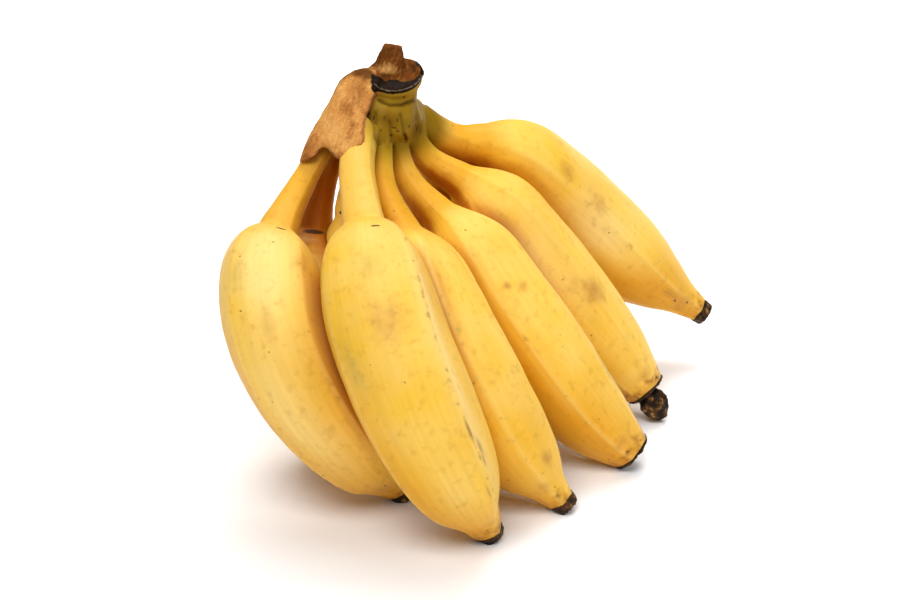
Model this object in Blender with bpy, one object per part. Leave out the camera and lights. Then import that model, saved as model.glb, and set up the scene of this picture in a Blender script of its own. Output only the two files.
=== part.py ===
"""A hand of short, plump bananas, as cut from the plant: one corky crown with an outer row of six fingers
and an inner row of four, each with the dried end of its flower. It stands on its tips, crown up.

Sizes are in millimetres until they become a mesh. X runs to the right of the outer row, Y back to the
inner row and Z up. The origin is on the surface below, under the middle of the hand.
"""

import bmesh
import bpy
import numpy as np
from mathutils import Vector

MM = 0.001
FULL_TURN = 2 * np.pi
HAND_CENTRE = np.array([11.2, 0.5, 0.0])  # the middle of the hand, in the frame that the paths are given in
SEAT_GAP = 0.35  # between pieces that touch
PRESS_GAP = 0.8  # between two fingers that press on each other, before flat facets take some of it up
PRESS_ROUNDS = 12
PRESS_LEAST = 0.25  # the share of its half width that a pressed finger keeps at least
CUT_MERGE = 1e-4  # points of a cut that are closer than this are one

SIDES_PER_FACE = 4  # between two ridges
NECK_RINGS = 4
BODY_RINGS = 16
LINE_SAMPLES = 121  # along a finger's centre line
LINE_FINENESS = 20  # steps of the curve to each sample
NECK_FLARE = 3  # how late the neck widens towards the shoulder
RIDGE_KEEN = 0.55  # 0 is a soft ridge, 1 a sharp one
FACE_FLAT = 0.03  # how far the faces between ridges lie under the half girth, as a share of it

CROWN_VOXEL = 1.3
CROWN_FACES = 2600
CROWN_ROUNDING = 0.5
CROWN_ROUNDS = 3
LIMB_SIDES = 14
LIMB_RINGS = 16
SLEEVE_LENGTH = 17  # how far the crown's flesh runs down each neck
SLEEVE_RINGS = 4
SLEEVE_COVER = 0.7  # how much thicker than the neck it is there
SLEEVE_OVERLAP = 4  # how much of a neck is made inside the crown, before the crown's shape is cut from it

END_SIDES = 10
END_RAGGED = 0.18
END_LOBES = 3  # bulges round a flower end
# Rows of (place along, share of the tip's half width).
END_OUTLINE = [(0.0, 0.88), (0.3, 1.0), (0.75, 0.85), (1.0, 0.55)]

SKIN_COLOUR, SKIN_ROUGHNESS = (0.86, 0.57, 0.12), 0.45
CROWN_COLOUR, CROWN_ROUGHNESS = (0.42, 0.24, 0.09), 0.8
DRIED_COLOUR, DRIED_ROUGHNESS = (0.03, 0.018, 0.01), 0.9

# Half widths of a finger's body from its shoulder (0) to its tip (1), as shares of its half girth: first one
# of the shoulders, then the middle, then one of the tips.
SHOULDERS = {
    "round": [(0.00, 0.40), (0.025, 0.56), (0.05, 0.70), (0.09, 0.83), (0.15, 0.93), (0.25, 0.99)],
    "soft": [
        (0.00, 0.40), (0.02, 0.49), (0.045, 0.61), (0.08, 0.74),
        (0.13, 0.865), (0.20, 0.955), (0.28, 0.99),
    ],
    "late": [
        (0.00, 0.37), (0.02, 0.44), (0.045, 0.54), (0.08, 0.69),
        (0.13, 0.86), (0.20, 0.965), (0.28, 0.995),
    ],
    "full": [
        (0.00, 0.49), (0.02, 0.56), (0.045, 0.655), (0.08, 0.77),
        (0.13, 0.88), (0.20, 0.96), (0.28, 0.99),
    ],
}
MIDDLE = [(0.38, 1.00), (0.58, 0.96), (0.74, 0.84)]
TIPS = {
    "drawn": [(0.86, 0.62), (0.94, 0.37), (1.00, 0.26)],
    "blunt": [(0.86, 0.70), (0.94, 0.55), (1.00, 0.43)],
    "long": [(0.84, 0.62), (0.92, 0.39), (1.00, 0.25)],
}

# Each finger's centre line runs from inside the crown down the neck and then from the shoulder to the tip.
# girth is the body's greatest width, stalk the neck's width at the crown, end the length of the dried flower
# end. ridges are (degrees round from the outer line, height as a share of the half girth), and twist is how
# far they wind, in degrees, from the shoulder to the tip.
FINGERS = {
    "finger_outer_1": {
        "neck": [(-40, 19, 123), (-47, 12, 114), (-54.5, 1, 103.5)],
        "body": [(-61.5, -13, 93), (-62.5, -33, 77), (-55.5, -46, 60), (-40, -50, 36), (-19, -39, 5)],
        "girth": 39, "stalk": 8.5, "shoulder": "round", "tip": "drawn", "end": 5, "twist": -22,
        "ridges": [(8, 0.06), (88, 0.075), (150, 0.05), (215, 0.06), (290, 0.05)],
    },
    "finger_outer_2": {
        "neck": [(-31.3, 12, 124), (-33, 1, 117), (-32.4, -11, 110)],
        "body": [(-29.8, -26.5, 100.8), (-26.3, -45, 89), (-19, -63, 70), (-3.5, -76, 39), (13, -68, 4.8)],
        "girth": 41, "stalk": 12.5, "shoulder": "soft", "tip": "drawn", "end": 4, "twist": -20,
        "ridges": [(73, 0.11), (132, 0.06), (194, 0.06), (262, 0.06), (332, 0.085)],
    },
    "finger_outer_3": {
        "neck": [(-25, 19, 122), (-25.5, 13, 114), (-24.5, 4, 104)],
        "body": [(-17, -8, 90), (-9, -25, 74), (2, -37, 56), (20, -45, 29), (39.5, -46.5, 4.3)],
        "girth": 38, "stalk": 9.5, "shoulder": "soft", "tip": "drawn", "end": 4, "twist": -26,
        "ridges": [(60, 0.085), (122, 0.05), (186, 0.06), (252, 0.05), (330, 0.07)],
    },
    "finger_outer_4": {
        "neck": [(-20, 26, 120), (-19.5, 22, 111), (-15, 18, 100)],
        "body": [(-4, 12, 89), (12, 3, 68), (31, -7, 45), (48, -12, 24.5), (66, -13, 6.3)],
        "girth": 38, "stalk": 9.5, "shoulder": "late", "tip": "blunt", "end": 4, "twist": -18,
        "ridges": [(62, 0.07), (128, 0.05), (190, 0.05), (256, 0.05), (342, 0.06)],
    },
    "finger_outer_5": {
        "neck": [(-15, 33, 120), (-13.5, 30.5, 113), (-8, 31, 103.5)],
        "body": [(4, 30.5, 95.2), (21.5, 31, 74.5), (38, 32, 53), (57, 30, 31), (74, 26, 12)],
        "girth": 38, "stalk": 9.5, "shoulder": "late", "tip": "blunt", "end": 10, "twist": -14,
        "ridges": [(20, 0.05), (78, 0.05), (138, 0.05), (200, 0.07), (282, 0.05)],
    },
    "finger_outer_6": {
        "neck": [(-13, 40, 116.5), (-6.5, 43.5, 110.2), (3.5, 47.5, 103.4)],
        "body": [(12.5, 51.5, 100.3), (30, 62, 84.5), (50, 73, 62), (71, 78, 41), (98, 78, 20.5)],
        "girth": 38, "stalk": 12.5, "shoulder": "full", "tip": "long", "end": 4, "twist": -12,
        "ridges": [(30, 0.06), (92, 0.05), (160, 0.05), (226, 0.075), (300, 0.05)],
    },
    "finger_inner_1": {
        "neck": [(-40, 28, 122), (-43, 26, 112), (-47.7, 22, 97)],
        "body": [(-50, 17, 82), (-51, 8, 66), (-50, -4, 47), (-46, -8, 26), (-44, 0, 4.2)],
        "girth": 36, "stalk": 11, "shoulder": "round", "tip": "drawn", "end": 4, "twist": 10,
        "ridges": [(0, 0.06), (72, 0.06), (144, 0.05), (216, 0.06), (288, 0.05)],
    },
    "finger_inner_2": {
        "neck": [(-32, 27, 119), (-33.5, 23, 110), (-34.8, 17, 100)],
        "body": [(-35.5, 11, 89.5), (-26, 4, 71), (-11, -4, 50), (-1, -12, 28), (14, -14, 4)],
        "girth": 35, "stalk": 8.5, "shoulder": "round", "tip": "drawn", "end": 4, "twist": 12,
        "ridges": [(20, 0.06), (92, 0.05), (164, 0.06), (236, 0.05), (308, 0.06)],
    },
    "finger_inner_3": {
        "neck": [(-22, 37, 117), (-22, 37, 108), (-20, 36, 99)],
        "body": [(-17, 34, 90), (-11, 30, 73), (-2, 28, 56), (14, 23, 34), (36, 32, 3.8)],
        "girth": 36, "stalk": 9.5, "shoulder": "soft", "tip": "drawn", "end": 4, "twist": -10,
        "ridges": [(50, 0.06), (122, 0.05), (194, 0.06), (266, 0.05), (338, 0.06)],
    },
    "finger_inner_4": {
        "neck": [(-17, 45, 116), (-15, 49, 109), (-11, 52, 101)],
        "body": [(-7, 54, 92), (1, 57, 76), (11, 60, 58), (28, 65, 32), (48, 70, 4.2)],
        "girth": 36, "stalk": 9.5, "shoulder": "soft", "tip": "drawn", "end": 4, "twist": 10,
        "ridges": [(30, 0.06), (102, 0.05), (174, 0.06), (246, 0.05), (318, 0.06)],
    },
}

# The crown's limbs: centre points, widths and thicknesses along each, and the direction that width lies in.
CROWN_LIMBS = {
    "cushion": {
        "points": [(-40, 20, 120), (-33, 25, 122), (-22, 30, 121), (-14, 41, 117)],
        "wide": [13, 18, 20, 14], "thick": [12, 15, 16, 13], "across": (0, 0, 1),
    },
    "stalk": {
        "points": [(-20.5, 26, 120), (-20.5, 25.3, 127), (-20.4, 25, 132), (-20.3, 24.8, 136)],
        "wide": [22, 19, 17, 19], "thick": [18, 17, 16, 18.5], "across": (1, 0, 0),
    },
    "disc": {
        "points": [(-20.3, 26, 134.6), (-20.3, 25.3, 136.9), (-20.3, 24.6, 139.2)],
        "wide": [18.4, 20.8, 20.4], "thick": [18, 20.8, 20.4], "across": (1, 0, 0),
    },
    "nub": {
        "points": [(-22.0, 28, 137.5), (-21.3, 29.3, 143), (-20.4, 30.3, 148.2)],
        "wide": [17, 11.5, 7.2], "thick": [12, 8.5, 6.5], "across": (1, 0, 0),
    },
    "heel": {
        "points": [(-17, 29.5, 136.5), (-15, 30.6, 140.5), (-13.8, 31.2, 143.4)],
        "wide": [9, 8, 6.2], "thick": [9, 8, 6.2], "across": (1, 0, 0),
    },
    "base": {
        "points": [(-21, 24, 130), (-22, 20, 124), (-22.5, 16.5, 118)],
        "wide": [18, 19.5, 19], "thick": [15, 15, 11], "across": (0.8, 0.6, 0),
    },
    "fan": {
        "points": [(-24, 17, 121), (-20, 22, 120.5), (-16, 29, 120.5), (-13, 36, 119)],
        "wide": [8, 9, 9, 8], "thick": [8, 9, 9, 8], "across": (0, 0, 1),
    },
}

# The crown's lobe is a plate of dead leaf base. Its four edges are rows of (x, v), where v is the way up as
# it is seen from the front and VIEW_TILT degrees above, and w is the depth of that view.
VIEW_TILT = np.radians(25)
VIEW_RIGHT = np.array([1.0, 0, 0])
VIEW_UP = np.array([0, np.sin(VIEW_TILT), np.cos(VIEW_TILT)])
VIEW_AWAY = np.array([0, np.cos(VIEW_TILT), -np.sin(VIEW_TILT)])
VIEW_CENTRE = np.array([0, 0, 61.0])
LOBE_LEFT = [
    (-36.0, 82.0), (-39.3, 79.4), (-41.8, 74.8), (-44.3, 70.0), (-47.1, 65.0), (-50.0, 60.0),
    (-51.3, 57.2), (-52.6, 54.0), (-54.0, 49.3),
]
LOBE_RIGHT = [
    (-23.0, 83.2), (-24.3, 77.5), (-26.6, 73.5), (-28.2, 69.6), (-29.9, 65.3), (-30.8, 61.0), (-30.9, 55.6),
]
LOBE_TOP = [(-36.0, 82.0), (-31.5, 83.4), (-23.0, 83.2)]
LOBE_BOTTOM = [
    (-54.0, 49.3), (-50.0, 49.8), (-47.5, 51.8), (-45.7, 54.2), (-43.2, 53.2), (-41.8, 51.3),
    (-40.7, 50.2), (-38.9, 49.9), (-36.0, 51.6), (-33.2, 53.8), (-30.9, 55.6),
]
LOBE_GRID = (24, 16)
LOBE_FRONT = (-14.0, 82.0, -0.57)  # w at a v, and how much w changes with v
LOBE_BEND = (-30.0, 0.25, 0.012)  # left of this x the plate bends back
LOBE_RIM = 2.0  # how far its front falls back at the edges
LOBE_THICK = (10, 4.5)  # at the top and at the torn edge


def smooth_line(points, samples):
    """A natural cubic curve through the points, in even steps, with each point's distance along it."""
    points = np.array(points, float)
    last = len(points) - 1
    knots = np.concatenate([[0], np.cumsum(np.linalg.norm(np.diff(points, axis=0), axis=1))])
    gaps = np.diff(knots)
    slopes = np.diff(points, axis=0) / gaps[:, None]
    system = np.eye(last + 1)
    load = np.zeros_like(points)
    for i in range(1, last):
        system[i, i - 1 : i + 2] = gaps[i - 1], 2 * (gaps[i - 1] + gaps[i]), gaps[i]
        load[i] = 6 * (slopes[i] - slopes[i - 1])
    bends = np.linalg.solve(system, load)

    fine = np.linspace(0, knots[-1], LINE_FINENESS * samples)
    i = np.clip(np.searchsorted(knots, fine, side="right") - 1, 0, last - 1)
    gap = gaps[i][:, None]
    before = (fine - knots[i])[:, None]
    after = gap - before
    curve = (bends[i] * after**3 + bends[i + 1] * before**3) / (6 * gap)
    curve += (points[i] / gap - bends[i] * gap / 6) * after
    curve += (points[i + 1] / gap - bends[i + 1] * gap / 6) * before

    run = np.concatenate([[0], np.cumsum(np.linalg.norm(np.diff(curve, axis=0), axis=1))])
    even = np.linspace(0, run[-1], samples)
    line = np.stack([np.interp(even, run, curve[:, k]) for k in range(3)], axis=1)
    return line, even, np.interp(knots, fine, run)


def smooth_value(table, at):
    """Read a table of (place, value) with no corners at its rows."""
    places, values = np.array(table, float).T
    slopes = np.gradient(values, places)
    i = np.clip(np.searchsorted(places, at, side="right") - 1, 0, len(places) - 2)
    width = places[i + 1] - places[i]
    t = (at - places[i]) / width
    rise = values[i + 1] - values[i]
    return (
        values[i]
        + rise * (3 * t**2 - 2 * t**3)
        + width * (slopes[i] * (t - 2 * t**2 + t**3) + slopes[i + 1] * (t**3 - t**2))
    )


def unit(vectors):
    return vectors / np.linalg.norm(vectors, axis=-1, keepdims=True)


def finger_form(spec):
    """A finger's centre line, with the axes and the half width at each step along it."""
    points = spec["neck"] + spec["body"]
    line, steps, knots = smooth_line(points, LINE_SAMPLES)
    shoulder = knots[len(spec["neck"])]
    along = unit(np.gradient(line, axis=0))
    middle = LINE_SAMPLES // 2
    across = np.cross(line[middle] - line[0], line[-1] - line[middle])
    side = unit(across - np.sum(across * along, axis=1)[:, None] * along)
    outer = np.cross(along, side)
    half_girth = spec["girth"] / 2
    outline = SHOULDERS[spec["shoulder"]] + MIDDLE + TIPS[spec["tip"]]
    body_share = np.clip((steps - shoulder) / (steps[-1] - shoulder), 0, 1)
    neck_share = np.clip(steps / shoulder, 0, 1)
    root = spec["stalk"] / 2
    neck_end = outline[0][1] * half_girth
    neck = root + (neck_end - root) * neck_share**NECK_FLARE
    body = smooth_value(outline, body_share) * half_girth
    places, heights = np.array(spec["ridges"], float).T
    return {
        "line": line,
        "steps": steps,
        "shoulder": shoulder,
        "along": along,
        "side": side,
        "outer": outer,
        "radius": np.where(steps < shoulder, neck, body),
        "turn": np.radians(spec["twist"]) * body_share,
        "ridge_places": np.radians(places),
        "ridge_heights": heights,
    }


def crest(share):
    """A ridge's lift, from 1 on it to 0 half way to the next one."""
    rest = np.clip(1 - 2 * share, 0, 1)
    soft = 0.5 - 0.5 * np.cos(np.pi * rest)
    return RIDGE_KEEN * rest**2 + (1 - RIDGE_KEEN) * soft * rest


def ridged(form, angle):
    """How far the skin stands out at an angle round the finger, as a share of its half width."""
    first = form["ridge_places"][0]
    edges = np.append(form["ridge_places"] - first, FULL_TURN)
    turn = np.mod(angle - first, FULL_TURN)
    low = np.clip(np.searchsorted(edges, turn, side="right") - 1, 0, len(edges) - 2)
    share = (turn - edges[low]) / (edges[low + 1] - edges[low])
    heights = np.append(form["ridge_heights"], form["ridge_heights"][0])
    return 1 - FACE_FLAT + heights[low] * crest(share) + heights[low + 1] * crest(1 - share)


def depth_in(form, points):
    """How far each point is outside a finger's skin; it is negative inside."""
    offsets = points[:, None, :] - form["line"][None, :, :]
    nearest = np.argmin(np.sum(offsets**2, axis=2), axis=1)
    offset = offsets[np.arange(len(points)), nearest]
    to_side = np.sum(offset * form["side"][nearest], axis=1)
    to_outer = np.sum(offset * form["outer"][nearest], axis=1)
    angle = np.arctan2(to_side, to_outer) - form["turn"][nearest]
    skin = form["radius"][nearest] * ridged(form, angle)
    return np.linalg.norm(offset, axis=1) - skin


def finger_rings(form, neighbours):
    """Rings of points down a finger, pressed flat where a neighbour leaves it no room."""
    start = (SLEEVE_LENGTH - SLEEVE_OVERLAP) / form["steps"][-1]
    shoulder = form["shoulder"] / form["steps"][-1]
    neck = np.linspace(start, shoulder, NECK_RINGS, endpoint=False)
    body = shoulder + (1 - shoulder) * (0.5 - 0.5 * np.cos(np.linspace(0, np.pi, BODY_RINGS)))
    places = np.concatenate([neck, body])
    index = places * (LINE_SAMPLES - 1)

    def read(name):
        values = form[name]
        low = np.clip(index.astype(int), 0, LINE_SAMPLES - 2)
        part = (index - low).reshape([-1] + [1] * (values.ndim - 1))
        return values[low] * (1 - part) + values[low + 1] * part

    line = read("line")
    side = unit(read("side"))[:, None, :]
    outer = unit(read("outer"))[:, None, :]
    edges = np.append(form["ridge_places"], form["ridge_places"][0] + FULL_TURN)
    faces = [np.linspace(a, b, SIDES_PER_FACE, endpoint=False) for a, b in zip(edges, edges[1:])]
    angles = np.concatenate(faces)
    turned = angles[None, :] + read("turn")[:, None]
    spokes = np.cos(turned)[:, :, None] * outer + np.sin(turned)[:, :, None] * side
    reach = read("radius")[:, None] * ridged(form, angles)[None, :]
    full = reach.copy()
    for _ in range(PRESS_ROUNDS):
        points = line[:, None, :] + spokes * reach[:, :, None]
        flat = points.reshape(-1, 3)
        room = np.min([depth_in(other, flat) for other in neighbours], axis=0).reshape(reach.shape)
        short = np.clip(reach - full - room + PRESS_GAP, 0, None)
        reach = np.maximum(reach - short / 2, PRESS_LEAST * full)
    return line[:, None, :] + spokes * reach[:, :, None]


def new_object(name, mesh_data, material):
    """Make an object of a bmesh that is still in millimetres."""
    bmesh.ops.recalc_face_normals(mesh_data, faces=mesh_data.faces)
    for vertex in mesh_data.verts:
        vertex.co = (vertex.co - Vector(HAND_CENTRE)) * MM
    mesh = bpy.data.meshes.new(name)
    mesh_data.to_mesh(mesh)
    mesh_data.free()
    mesh.shade_smooth()
    mesh.materials.append(material)
    thing = bpy.data.objects.new(name, mesh)
    bpy.context.collection.objects.link(thing)
    return thing


def add_rings(shell, rings):
    """Add a closed skin over rings of points to a bmesh, with a flat cap on each end."""
    loops = [[shell.verts.new(point) for point in ring] for ring in rings]
    for upper, lower in zip(loops, loops[1:]):
        for k in range(len(upper)):
            after = (k + 1) % len(upper)
            shell.faces.new([upper[k], upper[after], lower[after], lower[k]])
    shell.faces.new(loops[0][::-1])
    shell.faces.new(loops[-1])


def stand_on_surface(shell, height=0.0):
    """Cut off what reaches below the surface, which leaves a flat spot to stand on."""
    geometry = shell.verts[:] + shell.edges[:] + shell.faces[:]
    bmesh.ops.bisect_plane(
        shell, geom=geometry, dist=CUT_MERGE, plane_co=(0, 0, height), plane_no=(0, 0, 1), clear_inner=True
    )
    open_edges = [edge for edge in shell.edges if edge.is_boundary]
    if open_edges:
        bmesh.ops.holes_fill(shell, edges=open_edges)


def material(name, colour, roughness):
    made = bpy.data.materials.new(name)
    made.use_nodes = True
    shader = made.node_tree.nodes["Principled BSDF"]
    shader.inputs["Base Color"].default_value = (*colour, 1)
    shader.inputs["Roughness"].default_value = roughness
    shader.inputs["Metallic"].default_value = 0
    return made


def limb(shell, points, wide, thick, across):
    """Add a closed limb with an oval section to a bmesh."""
    line, steps, knots = smooth_line(points, LIMB_RINGS)
    along = unit(np.gradient(line, axis=0))
    across = np.array(across, float)
    side = unit(across - np.sum(across * along, axis=1)[:, None] * along)
    outer = np.cross(along, side)
    half_wide = np.interp(steps, knots, wide) / 2
    half_thick = np.interp(steps, knots, thick) / 2
    angles = np.arange(LIMB_SIDES) * FULL_TURN / LIMB_SIDES
    rings = (
        line[:, None, :]
        + (half_wide[:, None] * np.cos(angles))[:, :, None] * side[:, None, :]
        + (half_thick[:, None] * np.sin(angles))[:, :, None] * outer[:, None, :]
    )
    add_rings(shell, rings)


def even_row(row, count):
    """A row of (x, v) points in even steps."""
    row = np.array(row, float)
    run = np.concatenate([[0], np.cumsum(np.linalg.norm(np.diff(row, axis=0), axis=1))])
    even = np.linspace(0, run[-1], count)
    return np.stack([np.interp(even, run, row[:, k]) for k in range(2)], axis=1)


def lobe_surface(x, v, w):
    """Points in space from places and depths in the front view."""
    return VIEW_CENTRE + x[..., None] * VIEW_RIGHT + v[..., None] * VIEW_UP + w[..., None] * VIEW_AWAY


def lobe_plate(shell):
    """Add the lobe to a bmesh: a bent plate between four edges, closed all round."""
    rows, columns = LOBE_GRID
    left, right = even_row(LOBE_LEFT, rows), even_row(LOBE_RIGHT, rows)
    top, bottom = even_row(LOBE_TOP, columns), even_row(LOBE_BOTTOM, columns)
    q = np.linspace(0, 1, rows)[:, None, None]
    p = np.linspace(0, 1, columns)[None, :, None]
    flat = (1 - p) * left[:, None] + p * right[:, None] + (1 - q) * top[None] + q * bottom[None]
    flat -= (1 - p) * (1 - q) * top[0] + p * (1 - q) * top[-1] + (1 - p) * q * bottom[0] + p * q * bottom[-1]
    x, v = flat[:, :, 0], flat[:, :, 1]
    depth, level, slope = LOBE_FRONT
    start, bend, more = LOBE_BEND
    past = np.clip(start - x, 0, None)
    front = depth + slope * (level - v) + bend * past + more * past**2
    back = front + np.linspace(*LOBE_THICK, rows)[:, None]
    rim = np.zeros((rows, columns))
    rim[[0, -1], :] = 1
    rim[:, [0, -1]] = 1
    front_points = lobe_surface(x, v, front + LOBE_RIM * rim)
    back_points = lobe_surface(x, v, back)

    ahead = [[shell.verts.new(point) for point in row] for row in front_points]
    behind = [[shell.verts.new(point) for point in row] for row in back_points]
    for i in range(rows - 1):
        for j in range(columns - 1):
            shell.faces.new([ahead[i][j], ahead[i + 1][j], ahead[i + 1][j + 1], ahead[i][j + 1]])
            shell.faces.new([behind[i][j], behind[i][j + 1], behind[i + 1][j + 1], behind[i + 1][j]])
    edge = [(0, j) for j in range(columns)] + [(i, columns - 1) for i in range(1, rows)]
    edge += [(rows - 1, j) for j in range(columns - 2, -1, -1)] + [(i, 0) for i in range(rows - 2, 0, -1)]
    for (i, j), (k, m) in zip(edge, edge[1:] + edge[:1]):
        shell.faces.new([ahead[i][j], ahead[k][m], behind[k][m], behind[i][j]])


def build_crown(forms):
    """The crown: a cushion with the cut stalk, a corky lobe and a short sleeve round each neck, all one."""
    shell = bmesh.new()
    for shape in CROWN_LIMBS.values():
        limb(shell, **shape)
    lobe_plate(shell)
    for form in forms.values():
        reach = int(np.searchsorted(form["steps"], SLEEVE_LENGTH))
        places = np.linspace(0, reach, SLEEVE_RINGS).astype(int)
        width = 2 * (form["radius"][places] + SLEEVE_COVER)
        limb(shell, form["line"][places], width, width, form["side"][0])
    crown = new_object("crown", shell, material("corky_crown", CROWN_COLOUR, CROWN_ROUGHNESS))
    whole = crown.modifiers.new("one_body", "REMESH")
    whole.mode = "VOXEL"
    whole.voxel_size = CROWN_VOXEL * MM
    rounding = crown.modifiers.new("rounding", "SMOOTH")
    rounding.factor = CROWN_ROUNDING
    rounding.iterations = CROWN_ROUNDS
    lighter = crown.modifiers.new("lighter", "DECIMATE")
    bpy.context.view_layer.update()
    evaluated = crown.evaluated_get(bpy.context.evaluated_depsgraph_get())
    faces = sum(len(face.vertices) - 2 for face in evaluated.data.polygons)
    lighter.ratio = min(1, CROWN_FACES / faces)
    bake_modifiers(crown)
    return crown


def bake_modifiers(thing):
    """Give the object the mesh that its modifiers make, in place of them."""
    bpy.context.view_layer.update()
    evaluated = thing.evaluated_get(bpy.context.evaluated_depsgraph_get())
    mesh = bpy.data.meshes.new_from_object(evaluated)
    thing.modifiers.clear()
    thing.data = mesh


def grown(thing, name, amount):
    """A guide: the object's shape, larger all over by an amount in millimetres."""
    mesh = thing.data.copy()
    guide = bpy.data.objects.new(name, mesh)
    bpy.context.collection.objects.link(guide)
    normals = [vertex.normal.copy() for vertex in mesh.vertices]
    for vertex, normal in zip(mesh.vertices, normals):
        vertex.co += normal * amount * MM
    guide.hide_render = True
    guide.display_type = "WIRE"
    return guide


def build_finger(name, form, neighbours, room_for_crown, skin):
    shell = bmesh.new()
    add_rings(shell, finger_rings(form, neighbours))
    stand_on_surface(shell)
    finger = new_object(name, shell, skin)
    cut = finger.modifiers.new("meets_crown", "BOOLEAN")
    cut.operation = "DIFFERENCE"
    cut.solver = "EXACT"
    cut.object = room_for_crown
    return finger


def build_flower_end(name, form, length, phase, dark):
    """The dried, ragged end of the flower, just clear of the finger's tip."""
    start = form["line"][-1] + form["along"][-1] * SEAT_GAP
    tip_radius = form["radius"][-1]
    angles = np.arange(END_SIDES) * FULL_TURN / END_SIDES
    spokes = np.cos(angles)[:, None] * form["outer"][-1] + np.sin(angles)[:, None] * form["side"][-1]
    rings = []
    for share, width in END_OUTLINE:
        centre = start + form["along"][-1] * length * share
        ragged = 1 + END_RAGGED * share * np.sin(END_LOBES * angles + phase)
        rings.append(centre + spokes * (tip_radius * width * ragged)[:, None])
    shell = bmesh.new()
    add_rings(shell, rings)
    stand_on_surface(shell)
    return new_object(name, shell, dark)


def build_hand():
    for thing in list(bpy.data.objects):
        bpy.data.objects.remove(thing)
    skin = material("banana_skin", SKIN_COLOUR, SKIN_ROUGHNESS)
    dark = material("dried_flower", DRIED_COLOUR, DRIED_ROUGHNESS)
    forms = {name: finger_form(spec) for name, spec in FINGERS.items()}
    crown = build_crown(forms)
    room_for_crown = grown(crown, "room_for_crown", SEAT_GAP)
    for number, (name, form) in enumerate(forms.items()):
        neighbours = [other for other in forms.values() if other is not form]
        build_finger(name, form, neighbours, room_for_crown, skin)
        build_flower_end(name.replace("finger", "flower_end"), form, FINGERS[name]["end"], number, dark)


build_hand()
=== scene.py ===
# A hand of short, plump, ripe bananas: ten fingers on one corky crown, standing on their tips.
# Shapes are in millimetres until they become a mesh. The routes of the fingers are the frame's own.
import math
import bmesh
import bpy
import numpy as np
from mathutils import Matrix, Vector, noise


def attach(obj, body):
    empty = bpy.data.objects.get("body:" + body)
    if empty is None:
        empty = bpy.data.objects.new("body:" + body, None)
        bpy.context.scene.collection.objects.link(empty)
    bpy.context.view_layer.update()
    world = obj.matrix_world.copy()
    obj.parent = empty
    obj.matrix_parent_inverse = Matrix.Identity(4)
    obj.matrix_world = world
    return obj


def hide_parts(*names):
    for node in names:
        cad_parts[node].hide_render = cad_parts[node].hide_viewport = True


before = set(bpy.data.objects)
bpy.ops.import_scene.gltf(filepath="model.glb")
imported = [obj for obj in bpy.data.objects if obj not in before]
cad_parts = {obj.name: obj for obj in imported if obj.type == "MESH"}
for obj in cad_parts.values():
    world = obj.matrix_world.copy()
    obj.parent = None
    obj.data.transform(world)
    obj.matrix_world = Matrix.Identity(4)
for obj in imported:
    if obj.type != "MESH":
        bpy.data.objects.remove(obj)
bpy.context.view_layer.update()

mm = 0.001
handCentre = np.array([11.2, 0.5, 0.0])  # the middle of the hand in the frame that the routes are given in
lineSamples = 161  # along a finger's centre line
fullTurn = 2 * math.pi


def hexColour(code):  # sRGB hex to linear
    shares = [int(code[i : i + 2], 16) / 255 for i in (1, 3, 5)]
    return tuple(s / 12.92 if s <= 0.04045 else ((s + 0.055) / 1.055) ** 2.4 for s in shares) + (1.0,)


# Sockets go by name or number. A MapRange has 0 value, 1 and 2 from, 3 and 4 to, and a colour Mix 0 share,
# 6 and 7 colours. Output 3 of TexCoord is the place in the object, and 2 of an Attribute its number.
def addNode(tree, kind, sockets=None, out=0, **settings):
    node = tree.nodes.new("ShaderNode" + kind)
    for name, value in settings.items():
        setattr(node, name, value)
    for name, value in (sockets or {}).items():
        if isinstance(value, bpy.types.NodeSocket):
            tree.links.new(value, node.inputs[name])
        else:
            node.inputs[name].default_value = value
    return node.outputs[out]


def perMetre(millimetres):  # a texture scale that gives features of this size
    return 1 / (millimetres * mm)


def smoothStep(low, high, value):
    t = np.clip((value - low) / (high - low), 0, 1)
    return t * t * (3 - 2 * t)


def unit(vectors):
    return vectors / np.linalg.norm(vectors, axis=-1, keepdims=True)


def smoothLine(points, samples):  # a natural cubic curve through the points, in even steps
    points = np.array(points, float)
    last = len(points) - 1
    knots = np.concatenate([[0], np.cumsum(np.linalg.norm(np.diff(points, axis=0), axis=1))])
    gaps = np.diff(knots)
    slopes = np.diff(points, axis=0) / gaps[:, None]
    system = np.eye(last + 1)
    load = np.zeros_like(points)
    for i in range(1, last):
        system[i, i - 1 : i + 2] = gaps[i - 1], 2 * (gaps[i - 1] + gaps[i]), gaps[i]
        load[i] = 6 * (slopes[i] - slopes[i - 1])
    bends = np.linalg.solve(system, load)
    fine = np.linspace(0, knots[-1], 20 * samples)
    i = np.clip(np.searchsorted(knots, fine, side="right") - 1, 0, last - 1)
    gap = gaps[i][:, None]
    before = (fine - knots[i])[:, None]
    after = gap - before
    curve = (bends[i] * after**3 + bends[i + 1] * before**3) / (6 * gap)
    curve += (points[i] / gap - bends[i] * gap / 6) * after
    curve += (points[i + 1] / gap - bends[i + 1] * gap / 6) * before
    run = np.concatenate([[0], np.cumsum(np.linalg.norm(np.diff(curve, axis=0), axis=1))])
    even = np.linspace(0, run[-1], samples)
    line = np.stack([np.interp(even, run, curve[:, k]) for k in range(3)], axis=1)
    return line, even, np.interp(knots, fine, run)


def smoothValue(table, at):  # reads rows of (place, value) with no corners at the rows
    places, values = np.array(table, float).T
    slopes = np.gradient(values, places)
    i = np.clip(np.searchsorted(places, at, side="right") - 1, 0, len(places) - 2)
    width = places[i + 1] - places[i]
    t = (at - places[i]) / width
    rise = values[i + 1] - values[i]
    bend = slopes[i] * (t - 2 * t**2 + t**3) + slopes[i + 1] * (t**3 - t**2)
    return values[i] + rise * (3 * t**2 - 2 * t**3) + width * bend


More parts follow.
